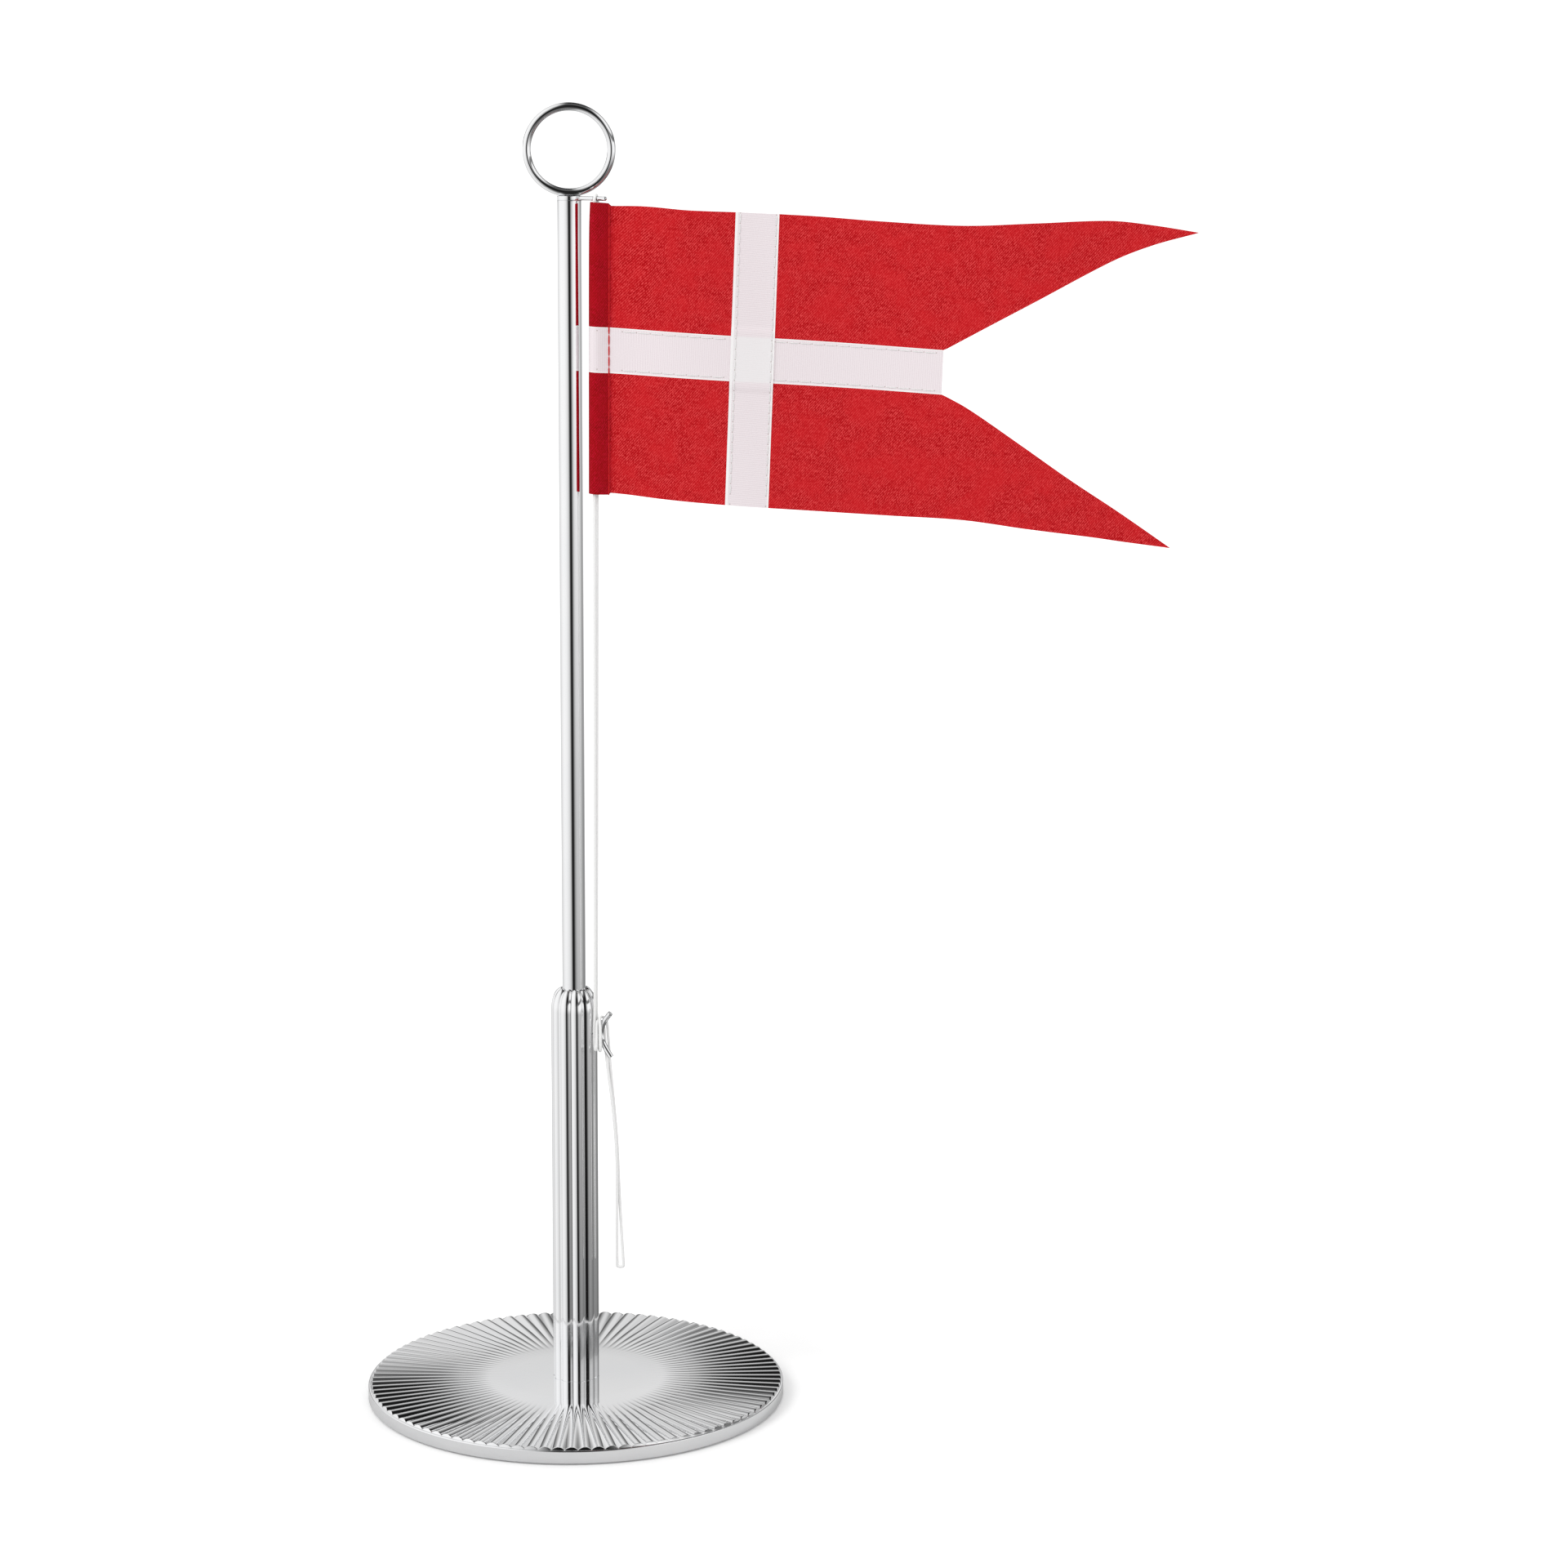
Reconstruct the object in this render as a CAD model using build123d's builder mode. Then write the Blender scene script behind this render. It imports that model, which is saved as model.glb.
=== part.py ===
from build123d import *
import math
import os

# Desk flag stand: a chromed disc base, a fluted stem, a thin pole with a ring on top, and a
# swallow-tailed flag whose hoist edge is sewn round a doubled halyard.  The halyard runs over an
# arm under the ring, down beside the pole, round a small cleat on the stem, and hangs loose.
# Millimetres and degrees.  The origin is the centre of the underside, +Z is up, and the flag
# flies towards +X.  The arm, the cleat and the halyard stand at halyard_azimuth.

os.makedirs("parts", exist_ok=True)

# ---- driving dimensions ----
total_height = 388.0
halyard_azimuth = -28.0
thread_gap = 0.02            # a screw's play in its tapped hole

# base
base_radius = 63.2
base_lift = 0.3              # the felt stands this far proud of the rim
rim_height = 4.2             # top of the plain rim band
rim_ledge = 0.8              # flat ledge between the rim and the ends of the ribs
rim_round = 0.4
rib_count = 100
rib_crest_height = 5.0       # height of the ribs at the ledge
rib_start_radius = 26.0
rib_valley_depth = 0.7
rib_valley_width = 2.6
valley_overrun = 0.2         # the cutter runs this far past the ends of the ribs
base_top = 5.3               # the plain centre
felt_radius = 60.5
felt_thickness = 1.3
felt_play = 0.2

# screw that holds the stem to the base
screw_radius = 2.5
screw_length = 14.0
screw_head_radius = 4.2
screw_head_height = 1.8
screw_clearance = 0.15
counterbore_depth = 2.1
hex_socket_width = 2.5
hex_socket_depth = 1.2

# fluted stem
stem_top = 127.0
flute_count = 10
flute_outer_radius = 7.02
flute_round = 2.0            # radius of each convex lobe
flute_start_angle = -77.7
shoulder_height = 7.0
shoulder_inner_radius = 3.6

# pole and the studs in its ends
pole_radius = 3.53
pole_foot = 107.0
pole_top = 360.1
pole_edge_break = 0.15
stud_radius = 2.0
stud_below = 9.0
stud_above = 11.0
stud_play = 0.5

# arm under the ring
collar_height = 1.3
arm_radius = 0.63
arm_tip = 12.6
arm_spigot_radius = 0.4
arm_spigot_start = 1.9
groove_radius = 0.5
groove_width = 1.2
groove_flank = 0.15

# ring on top
ring_outer_radius = 13.45
ring_section_radius = 1.22
ring_stud_radius = 1.5
ring_stud_depth = 10.0
ring_spigot_radius = 0.6
ring_spigot_height = 1.2

# cleat: a bent rod on a short post, seen from its side as (out from the pole, height)
cleat_radius = 0.85
cleat_route = [(12.64, 120.4), (9.2, 116.4), (9.4, 112.0), (12.87, 106.9)]
cleat_bend = 4.0
cleat_edge_break = 0.15
post_height = 113.3
post_radius = 0.5
post_root = 5.2

# halyard
cord_diameter = 0.9
strand_spread = 1.0          # half the distance between the two strands at the arm
halyard_foot = (7.6, 119.0)  # (out from the pole, height) where the straight stretch ends
halyard_out_at_arm = 8.95
arc_share = 0.45             # how much of the shorter run an arc of the cord takes up

# thread whipping that holds the flag to the front strand
seizing_inner_radius = 0.55
seizing_outer_radius = 0.75
seizing_length = 4.0
seizing_height = 58.0        # above the flag's lower hoist corner
lowered_gap = 2.5            # the lowered flag stops this far above the stem

# flag, in its own flat cut: along is the distance from the halyard, up is from the lower edge
flag_foot = 275.5            # height of the lower hoist corner
flag_hoist = 83.8
cloth_thickness = 0.4
droop = 0.062                # the fly sinks this much for each millimetre along
lean = 0.03                  # and the flag's upright lines lean out this much
sleeve_outer_radius = 2.1
sleeve_inner_radius = 1.85
sleeve_seam = 3.4            # where the sleeve's two layers meet, just before its stitches
bar_bottom = 35.6
bar_top = 48.7
upright_near = 37.7
upright_far = 50.3
notch_along = 99.5
upper_tail = [(107.0, 84.6), (146.0, 88.6), (171.3, 86.5), (146.5, 76.6)]
lower_tail = [(107.0, -0.6), (143.3, -2.7), (167.8, -4.4)]
tape_overlap = 1.5           # the upright tape crosses in front of the bar by this much more
tape_thickness = 0.35
thread_width = 0.3
thread_height = 0.15
row_inset = 1.0              # rows of stitches lie this far inside a tape's edge
row_margin = 0.5

# ---- places worked out from them ----
azimuth = math.radians(halyard_azimuth)
outward = Vector(math.cos(azimuth), math.sin(azimuth), 0)
sideways = Vector(-math.sin(azimuth), math.cos(azimuth), 0)
side_plane = Plane(origin=(0, 0, 0), x_dir=outward, z_dir=-sideways)   # (out, height)
ledge_radius = base_radius - rim_ledge
collar_top = pole_top + collar_height
arm_height = pole_top + collar_height / 2
cord_radius = cord_diameter / 2


def beside_pole(out, side, height):
    """A point given by its distance out along the arm, its offset sideways and its height."""
    return outward * out + sideways * side + Vector(0, 0, height)


halyard_low = beside_pole(halyard_foot[0], 0, halyard_foot[1])
halyard_high = beside_pole(halyard_out_at_arm, 0, arm_height)
halyard_up = (halyard_high - halyard_low).normalized()


def on_halyard(height):
    """The point of the halyard's middle line at a height."""
    share = (height - halyard_low.Z) / (halyard_high.Z - halyard_low.Z)
    return halyard_low + (halyard_high - halyard_low) * share


fly_dir = Vector(halyard_up.Z, 0, -halyard_up.X).normalized()
cloth_plane = Plane(origin=on_halyard(flag_foot), x_dir=fly_dir, z_dir=fly_dir.cross(halyard_up))
sleeve_plane = Plane(origin=on_halyard(flag_foot), x_dir=fly_dir, z_dir=halyard_up)


def hang(along, up):
    """Where a point of the flat cut hangs in the cloth's plane."""
    return (along + lean * up, up - droop * along)


def at_seam(up):
    """The point of the flat cut that hangs on the sleeve's seam."""
    return (sleeve_seam - lean * up, up)


def save(builder, name):
    builder.part.label = name
    export_step(builder.part, f"parts/{name}.step")


# ---- base: disc with a hundred radial ribs that fade out towards a plain centre ----
with BuildPart() as rib_valley:
    with BuildSketch(Plane(origin=(ledge_radius, 0, rib_crest_height), x_dir=(0, 1, 0), z_dir=(1, 0, 0))):
        with BuildLine():
            Polyline((-rib_valley_width / 2, 0), (0, -rib_valley_depth), (rib_valley_width / 2, 0), close=True)
        make_face()
    extrude(amount=valley_overrun)
    valley_mouth = rib_valley.faces().sort_by(Axis.X)[0]
    loft(sections=[valley_mouth, Vertex(rib_start_radius, 0, base_top)])

with BuildPart() as base_disc:
    with BuildSketch(Plane.XZ):
        with BuildLine():
            Polyline(
                (0, felt_thickness),
                (felt_radius + felt_play, felt_thickness),
                (felt_radius + felt_play, base_lift),
                (base_radius, base_lift),
                (base_radius, rim_height),
                (ledge_radius, rim_height),
                (ledge_radius, rib_crest_height),
                (rib_start_radius, base_top),
                (0, base_top),
                close=True,
            )
        make_face()
    revolve(axis=Axis.Z)
    rim_edge = base_disc.edges().filter_by(GeomType.CIRCLE).filter_by(
        lambda edge: edge.radius > base_radius - thread_gap and edge.center().Z > base_lift
    )
    fillet(rim_edge, radius=rim_round)
    with PolarLocations(0, rib_count):
        add(rib_valley.part, mode=Mode.SUBTRACT)
    with Locations(Plane(origin=(0, 0, felt_thickness), z_dir=(0, 0, -1))):
        CounterBoreHole(
            radius=screw_radius + screw_clearance,
            counter_bore_radius=screw_head_radius + 2 * screw_clearance,
            counter_bore_depth=counterbore_depth,
            depth=base_top,
        )
save(base_disc, "base_disc")

with BuildPart() as base_felt:
    Cylinder(felt_radius, felt_thickness, align=(Align.CENTER, Align.CENTER, Align.MIN))
save(base_felt, "base_felt")

head_seat = felt_thickness + counterbore_depth
with BuildPart() as stem_screw:
    with BuildSketch(Plane.XY.offset(head_seat - screw_head_height)):
        Circle(screw_head_radius)
    extrude(amount=screw_head_height)
    chamfer(stem_screw.edges().group_by(Axis.Z)[0], length=screw_clearance)
    with BuildSketch(Plane.XY.offset(head_seat)):
        Circle(screw_radius)
    extrude(amount=screw_length)
    with BuildSketch(Plane.XY.offset(head_seat - screw_head_height)):
        RegularPolygon(hex_socket_width / 2, 6, major_radius=False)
    extrude(amount=hex_socket_depth, mode=Mode.SUBTRACT)
save(stem_screw, "stem_screw")

# ---- stem: convex flutes all round, and a rounded shoulder up to the pole ----
flute_centre_radius = flute_outer_radius - flute_round
with BuildPart() as fluted_stem:
    with BuildSketch(Plane.XY.offset(base_top)):
        Circle(flute_centre_radius + flute_round / 2)
        with PolarLocations(flute_centre_radius, flute_count, start_angle=flute_start_angle):
            Circle(flute_round)
    extrude(amount=stem_top - base_top)
    with BuildSketch(Plane.XZ):
        with BuildLine():
            shoulder = EllipticalCenterArc(
                (shoulder_inner_radius, stem_top - shoulder_height),
                flute_outer_radius - shoulder_inner_radius,
                shoulder_height,
                start_angle=0,
                arc_size=90,
            )
            Polyline(
                shoulder @ 0,
                (flute_outer_radius, base_top),
                (0, base_top),
                (0, stem_top),
                shoulder @ 1,
            )
        make_face()
    revolve(axis=Axis.Z, mode=Mode.INTERSECT)
    with Locations((0, 0, stem_top)):
        Hole(pole_radius + thread_gap, depth=stem_top - pole_foot)
    with Locations((0, 0, pole_foot)):
        Hole(stud_radius + thread_gap, depth=stud_below + stud_play)
    with Locations(Plane(origin=(0, 0, base_top), z_dir=(0, 0, -1))):
        Hole(screw_radius + thread_gap, depth=screw_length)
    with Locations(Plane(origin=beside_pole(flute_outer_radius, 0, post_height), z_dir=outward)):
        Hole(post_radius + thread_gap, depth=flute_outer_radius - post_root + thread_gap)
save(fluted_stem, "fluted_stem")

with BuildPart() as pole_stud:
    with BuildSketch(Plane.XY.offset(pole_foot - stud_below)):
        Circle(stud_radius)
    extrude(amount=stud_below + stud_above)
    chamfer(pole_stud.edges().filter_by(GeomType.CIRCLE), length=stud_play / 2)
save(pole_stud, "pole_stud")

with BuildPart() as pole:
    with BuildSketch(Plane.XY.offset(pole_foot)):
        Circle(pole_radius)
    extrude(amount=pole_top - pole_foot)
    chamfer(pole.edges().group_by(Axis.Z)[-1], length=pole_edge_break)
    with Locations((0, 0, pole_top)):
        Hole(ring_stud_radius + thread_gap, depth=ring_stud_depth + stud_play)
    with Locations(Plane(origin=(0, 0, pole_foot), z_dir=(0, 0, -1))):
        Hole(stud_radius + thread_gap, depth=stud_above + stud_play)
save(pole, "pole")

# ---- arm: a collar clamped between pole and ring, with a thin grooved rod brazed to it ----
arm_plane = Plane(origin=(0, 0, arm_height), x_dir=outward, z_dir=-sideways)
with BuildPart() as arm_collar:
    with BuildSketch(Plane.XY.offset(pole_top)):
        Circle(pole_radius)
    extrude(amount=collar_height)
    chamfer(arm_collar.edges(), length=pole_edge_break)
    with Locations((0, 0, collar_top)):
        Hole(ring_stud_radius + thread_gap, depth=collar_height)
    with Locations(Plane(origin=beside_pole(pole_radius, 0, arm_height), z_dir=outward)):
        Hole(arm_spigot_radius + thread_gap, depth=pole_radius - ring_stud_radius)
save(arm_collar, "arm_collar")

groove_near = halyard_out_at_arm - groove_width / 2
groove_far = halyard_out_at_arm + groove_width / 2
with BuildPart() as arm_rod:
    with BuildSketch(arm_plane):
        with BuildLine():
            rod_profile = Polyline(
                (arm_spigot_start, 0),
                (arm_spigot_start, arm_spigot_radius),
                (pole_radius, arm_spigot_radius),
                (pole_radius, arm_radius),
                (groove_near - groove_flank, arm_radius),
                (groove_near, groove_radius),
                (groove_far, groove_radius),
                (groove_far + groove_flank, arm_radius),
                (arm_tip - arm_radius, arm_radius),
            )
            tip_arc = TangentArc(rod_profile @ 1, (arm_tip, 0), tangent=(1, 0))
            Line(tip_arc @ 1, rod_profile @ 0)
        make_face()
    revolve(axis=Axis(arm_plane.origin, arm_plane.x_dir))
save(arm_rod, "arm_rod")

# ---- ring on top, filed flat where it stands on the collar, and its stud ----
ring_centre = total_height - ring_outer_radius
ring_radius = ring_outer_radius - ring_section_radius
with BuildPart() as finial_ring:
    with BuildSketch(Plane.YZ):
        with Locations((0, ring_centre + ring_radius)):
            Circle(ring_section_radius)
    revolve(axis=Axis((0, 0, ring_centre), (0, 1, 0)))
    split(bisect_by=Plane.XY.offset(collar_top), keep=Keep.TOP)
    with Locations(Plane(origin=(0, 0, collar_top), z_dir=(0, 0, -1))):
        Hole(ring_spigot_radius + thread_gap, depth=ring_spigot_height)
save(finial_ring, "finial_ring")

with BuildPart() as finial_stud:
    with BuildSketch(Plane.XY.offset(pole_top - ring_stud_depth)):
        Circle(ring_stud_radius)
    extrude(amount=collar_top - pole_top + ring_stud_depth)
    chamfer(finial_stud.edges().group_by(Axis.Z)[0], length=stud_play / 2)
    with BuildSketch(Plane.XY.offset(collar_top)):
        Circle(ring_spigot_radius)
    extrude(amount=ring_spigot_height)
save(finial_stud, "finial_stud")

# ---- cleat: a bent rod with two horns, brazed to a post in the stem's side ----
with BuildPart() as cleat_horns:
    with BuildLine(side_plane) as cleat_line:
        FilletPolyline(*cleat_route, radius=cleat_bend)
    with BuildSketch(Plane(origin=cleat_line.line @ 0, z_dir=cleat_line.line % 0)):
        Circle(cleat_radius)
    sweep(path=cleat_line.line)
    horn_ends = cleat_horns.faces().filter_by(GeomType.PLANE)
    chamfer(horn_ends.edges(), length=cleat_edge_break)
save(cleat_horns, "cleat_horns")

with BuildPart() as cleat_post:
    with BuildSketch(Plane(origin=beside_pole(post_root, 0, post_height), z_dir=outward)):
        Circle(post_radius)
    extrude(amount=cleat_route[1][0] - post_root)
    add(cleat_horns.part, mode=Mode.SUBTRACT)
save(cleat_post, "cleat_post")

# ---- halyard: one loop of cord, both strands side by side from the arm to the tail ----
# Each strand's route from the end of the straight stretch, as (out, side, height): past the post, a turn
# under the lower horn, up in front, over the upper horn, down behind, and the loose tail.
front_route = [
    (7.6, -0.5, 124.0),
    (7.5, -0.62, 118.5),
    (7.65, -1.08, 114.4),
    (7.75, -1.04, 109.0),
    (9.1, -2.5, 109.0),
    (9.0, -2.05, 112.6),
    (8.8, -1.6, 115.6),
    (8.55, -0.95, 117.75),
    (8.6, 0.95, 117.65),
    (9.55, 1.65, 115.4),
    (9.7, 1.62, 112.4),
    (9.95, 1.6, 109.2),
    (10.85, 0.9, 104.0),
    (12.31, 1.56, 92.0),
    (13.28, 2.07, 79.5),
    (13.45, 2.17, 67.0),
    (13.18, 2.25, 54.0),
    (13.13, 2.56, 42.0),
]
back_route = [
    (7.6, 0.5, 124.0),
    (7.5, 0.62, 118.5),
    (7.65, 1.08, 114.4),
    (7.95, 1.0, 108.5),
    (10.25, -1.75, 108.5),
    (10.2, -1.9, 112.2),
    (10.1, -1.65, 115.6),
    (9.35, -1.1, 118.85),
    (9.45, 1.1, 118.85),
    (10.4, 1.95, 117.1),
    (10.1, 2.8, 113.3),
    (10.7, 2.4, 109.4),
    (11.22, 2.11, 104.0),
    (12.19, 2.62, 92.0),
    (13.07, 3.1, 79.5),
    (13.43, 3.28, 67.0),
    (14.05, 3.39, 54.0),
    (14.81, 3.45, 42.0),
]
print("cord diameter", cord_diameter)


def arc_radii(points):
    """The radius of the tangent arc at each inner point of a route."""
    radii = []
    for before, corner, after in zip(points, points[1:], points[2:]):
        shorter = min((corner - before).length, (after - corner).length)
        half_turn = math.radians((corner - before).get_angle(after - corner) / 2)
        radii.append(arc_share * shorter / math.tan(half_turn))
    return radii


def strand(name, side, route):
    """One strand of the halyard, from the end of the bight over the arm to the end of its tail."""
    start = halyard_high + sideways * side
    points = [start] + [beside_pole(*point) for point in route]
    radii = arc_radii(points)
    with BuildPart() as tube:
        with BuildLine() as middle:
            FilletPolyline(*points, radius=radii)
        with BuildSketch(Plane(origin=middle.line @ 0, z_dir=middle.line % 0)):
            Circle(cord_radius)
        sweep(path=middle.line)
    save(tube, name)
    route_wire = middle.wire()
    share = tube.part.volume / (math.pi * cord_radius**2 * route_wire.length)
    print(name, "length", round(route_wire.length, 2), "volume share", round(share, 4))
    print(name, "arc radii", [round(radius, 1) for radius in radii])
    return route_wire


front_line = strand("halyard_front", -strand_spread, front_route)
back_line = strand("halyard_back", strand_spread, back_route)


def cord_bend(name, start, end, top_of_bend):
    """A half turn of cord between the ends of the two strands."""
    with BuildPart() as bend:
        with BuildLine() as middle:
            ThreePointArc(start, top_of_bend, end)
        with BuildSketch(Plane(origin=middle.line @ 0, z_dir=middle.line % 0)):
            Circle(cord_radius)
        sweep(path=middle.line)
    save(bend, name)
    print(name, "length", round(middle.wire().length, 2))


cord_bend("halyard_bight", front_line @ 0, back_line @ 0, halyard_high + halyard_up * strand_spread)
tail_middle = (front_line @ 1 + back_line @ 1) / 2
tail_half = (back_line @ 1 - front_line @ 1).length / 2
cord_bend("halyard_fold", front_line @ 1, back_line @ 1, tail_middle - Vector(0, 0, tail_half))

# ---- whipping that fastens the flag to the front strand, inside the sleeve ----
strand_top = halyard_high - sideways * strand_spread
strand_low = beside_pole(*front_route[0])
seizing_share = (flag_foot + seizing_height - strand_low.Z) / (strand_top.Z - strand_low.Z)
seizing_low = strand_low + (strand_top - strand_low) * seizing_share
with BuildPart() as halyard_seizing:
    with BuildSketch(Plane(origin=seizing_low, z_dir=strand_top - strand_low)):
        Circle(seizing_outer_radius)
        Circle(seizing_inner_radius, mode=Mode.SUBTRACT)
    extrude(amount=seizing_length)
save(halyard_seizing, "halyard_seizing")


# ---- flag: four red cloths and a white cross of two tapes ----
def flag_piece(name, outline, sleeve_span=None):
    """A flat piece of the flag, with its stretch of the hoist sleeve if it reaches the halyard."""
    with BuildPart() as piece:
        with BuildSketch(cloth_plane):
            with BuildLine():
                Polyline(*[hang(*point) for point in outline], close=True)
            make_face()
        extrude(amount=cloth_thickness / 2, both=True)
        if sleeve_span:
            low, high = sleeve_span
            with BuildSketch(sleeve_plane.offset(low)):
                Circle(sleeve_outer_radius)
                with Locations((sleeve_seam, 0)):
                    Circle(cloth_thickness / 2)
                make_hull()
            extrude(amount=high - low)
            with BuildSketch(sleeve_plane.offset(low)):
                Circle(sleeve_inner_radius)
                with Locations((sleeve_seam - 2 * cloth_thickness, 0)):
                    Circle(cloth_thickness / 4)
                make_hull()
            extrude(amount=high - low, mode=Mode.SUBTRACT)
    save(piece, name)


flag_piece(
    "upper_hoist_cloth",
    [at_seam(bar_top), (upright_near, bar_top), (upright_near, flag_hoist), at_seam(flag_hoist)],
    sleeve_span=(bar_top, flag_hoist),
)
flag_piece(
    "lower_hoist_cloth",
    [at_seam(0), (upright_near, 0), (upright_near, bar_bottom), at_seam(bar_bottom)],
    sleeve_span=(0, bar_bottom),
)
flag_piece(
    "cross_bar",
    [at_seam(bar_bottom), (notch_along, bar_bottom), (notch_along, bar_top), at_seam(bar_top)],
    sleeve_span=(bar_bottom, bar_top),
)
flag_piece(
    "upper_fly_cloth",
    [(upright_far, flag_hoist), *upper_tail, (notch_along, bar_top), (upright_far, bar_top)],
)
flag_piece(
    "lower_fly_cloth",
    [(upright_far, 0), *lower_tail, (notch_along, bar_bottom), (upright_far, bar_bottom)],
)


def tape_face(near, far, low, high):
    """The four hanging corners of an upright rectangle of the flat cut."""
    return [hang(near, low), hang(far, low), hang(far, high), hang(near, high)]


bridge_low = bar_bottom - tape_overlap
bridge_high = bar_top + tape_overlap
with BuildPart() as cross_upright:
    with BuildSketch(cloth_plane):
        for low, high in ((0, bar_bottom), (bar_top, flag_hoist)):
            with BuildLine():
                Polyline(*tape_face(upright_near, upright_far, low, high), close=True)
            make_face()
    extrude(amount=cloth_thickness / 2, both=True)
    with BuildSketch(cloth_plane.offset(cloth_thickness / 2)):
        with BuildLine():
            Polyline(*tape_face(upright_near, upright_far, bridge_low, bridge_high), close=True)
        make_face()
    extrude(amount=tape_thickness)
save(cross_upright, "cross_upright")

# rows of thread on both faces of the cloth
with BuildPart() as sleeve_stitching:
    for side in (1, -1):
        face_plane = cloth_plane.offset(side * cloth_thickness / 2)
        with BuildSketch(face_plane):
            with Locations((sleeve_seam + cloth_thickness, flag_hoist / 2)):
                Rectangle(thread_width, flag_hoist - 2 * row_margin)
        extrude(amount=side * thread_height)
save(sleeve_stitching, "sleeve_stitching")

bar_rows = (bar_bottom + row_inset, bar_top - row_inset)
upright_rows = (upright_near + row_inset, upright_far - row_inset)
front_bar_spans = (
    (sleeve_seam + 2 * row_margin, upright_near - row_margin),
    (upright_far + row_margin, notch_along - row_margin),
)
front_upright_spans = (
    (row_margin, bridge_low - thread_width),
    (bridge_high + thread_width, flag_hoist - row_margin),
)
bridge_span = (bridge_low + thread_width, bridge_high - thread_width)
back_bar_span = (sleeve_seam + 2 * row_margin, notch_along - row_margin)
back_upright_span = (row_margin, flag_hoist - row_margin)


def thread_rows(across, spans, upright):
    """Corner lists of the thread rows at given lines, along the bar or up the upright."""
    half = thread_width / 2
    rows = []
    for line in across:
        for start, end in spans:
            if upright:
                rows.append(tape_face(line - half, line + half, start, end))
            else:
                rows.append(tape_face(start, end, line - half, line + half))
    return rows


front_rows = thread_rows(bar_rows, front_bar_spans, False) + thread_rows(upright_rows, front_upright_spans, True)
bridge_rows = thread_rows(upright_rows, (bridge_span,), True)
back_rows = thread_rows(bar_rows, (back_bar_span,), False) + thread_rows(upright_rows, (back_upright_span,), True)
with BuildPart() as band_stitching:
    for level, direction, rows in (
        (cloth_thickness / 2, 1, front_rows),
        (cloth_thickness / 2 + tape_thickness, 1, bridge_rows),
        (-cloth_thickness / 2, -1, back_rows),
    ):
        with BuildSketch(cloth_plane.offset(level)):
            for corners in rows:
                with BuildLine():
                    Polyline(*corners, close=True)
                make_face()
        extrude(amount=direction * thread_height)
save(band_stitching, "band_stitching")

print("halyard axis direction", tuple(round(value, 6) for value in halyard_up))
print("halyard axis at the flag's foot", tuple(round(value, 4) for value in on_halyard(flag_foot)))
print("the flag's travel from rest to lowered:", round(stem_top + lowered_gap - flag_foot, 1))
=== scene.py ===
import math

import bpy
import numpy as np
from mathutils import Matrix, Vector
from mathutils.geometry import interpolate_bezier


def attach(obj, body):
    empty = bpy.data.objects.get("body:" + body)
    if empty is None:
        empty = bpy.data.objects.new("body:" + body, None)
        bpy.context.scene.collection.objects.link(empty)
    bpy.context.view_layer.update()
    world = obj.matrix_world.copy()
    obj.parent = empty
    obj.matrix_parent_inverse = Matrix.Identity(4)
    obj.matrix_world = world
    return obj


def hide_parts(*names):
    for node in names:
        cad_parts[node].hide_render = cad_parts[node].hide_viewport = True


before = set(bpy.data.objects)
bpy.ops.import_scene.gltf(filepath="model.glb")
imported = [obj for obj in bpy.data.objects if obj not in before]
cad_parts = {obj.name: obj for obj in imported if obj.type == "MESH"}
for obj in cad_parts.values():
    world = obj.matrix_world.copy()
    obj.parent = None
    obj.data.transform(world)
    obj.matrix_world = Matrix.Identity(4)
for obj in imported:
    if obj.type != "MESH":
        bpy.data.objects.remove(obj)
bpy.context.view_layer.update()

scene = bpy.context.scene
MM = 0.001

# ---- Camera, at the photograph's angle ----
CAMERA_PLACE, LENS, LOOKS_DOWN, ROLL = (0.0627, -1.0985, 0.3884), 86.34, 10.285, 0.235
camera = bpy.data.objects.new("camera", bpy.data.cameras.new("camera"))
camera.data.sensor_width = 36.0
camera.data.lens = LENS
camera.data.clip_start, camera.data.clip_end = 0.01, 20.0
camera.matrix_world = (
    Matrix.Translation(CAMERA_PLACE)
    @ Matrix.Rotation(math.radians(90.0 - LOOKS_DOWN), 4, "X")
    @ Matrix.Rotation(math.radians(ROLL), 4, "Z")
)
scene.collection.objects.link(camera)
scene.camera = camera

# ---- Places, in millimetres, as in the CAD ----
AZIMUTH = math.radians(-28.0)
OUTWARD = Vector((math.cos(AZIMUTH), math.sin(AZIMUTH), 0.0))
SIDEWAYS = Vector((-math.sin(AZIMUTH), math.cos(AZIMUTH), 0.0))
UP = Vector((0.0, 0.0, 1.0))
FLAG_FOOT = 275.5
ARM_HEIGHT = 360.75
STRAND_SPREAD = 1.0


def beside_pole(out, side, height):
    return OUTWARD * out + SIDEWAYS * side + UP * height


HALYARD_LOW = beside_pole(7.6, 0.0, 119.0)
HALYARD_HIGH = beside_pole(8.95, 0.0, ARM_HEIGHT)
HALYARD_UP = (HALYARD_HIGH - HALYARD_LOW).normalized()


def on_halyard(height):
    return HALYARD_LOW.lerp(HALYARD_HIGH, (height - HALYARD_LOW.z) / (HALYARD_HIGH.z - HALYARD_LOW.z))


FLY = Vector((HALYARD_UP.z, 0.0, -HALYARD_UP.x)).normalized()
TOWARD = FLY.cross(HALYARD_UP).normalized()
FOOT = on_halyard(FLAG_FOOT)


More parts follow.
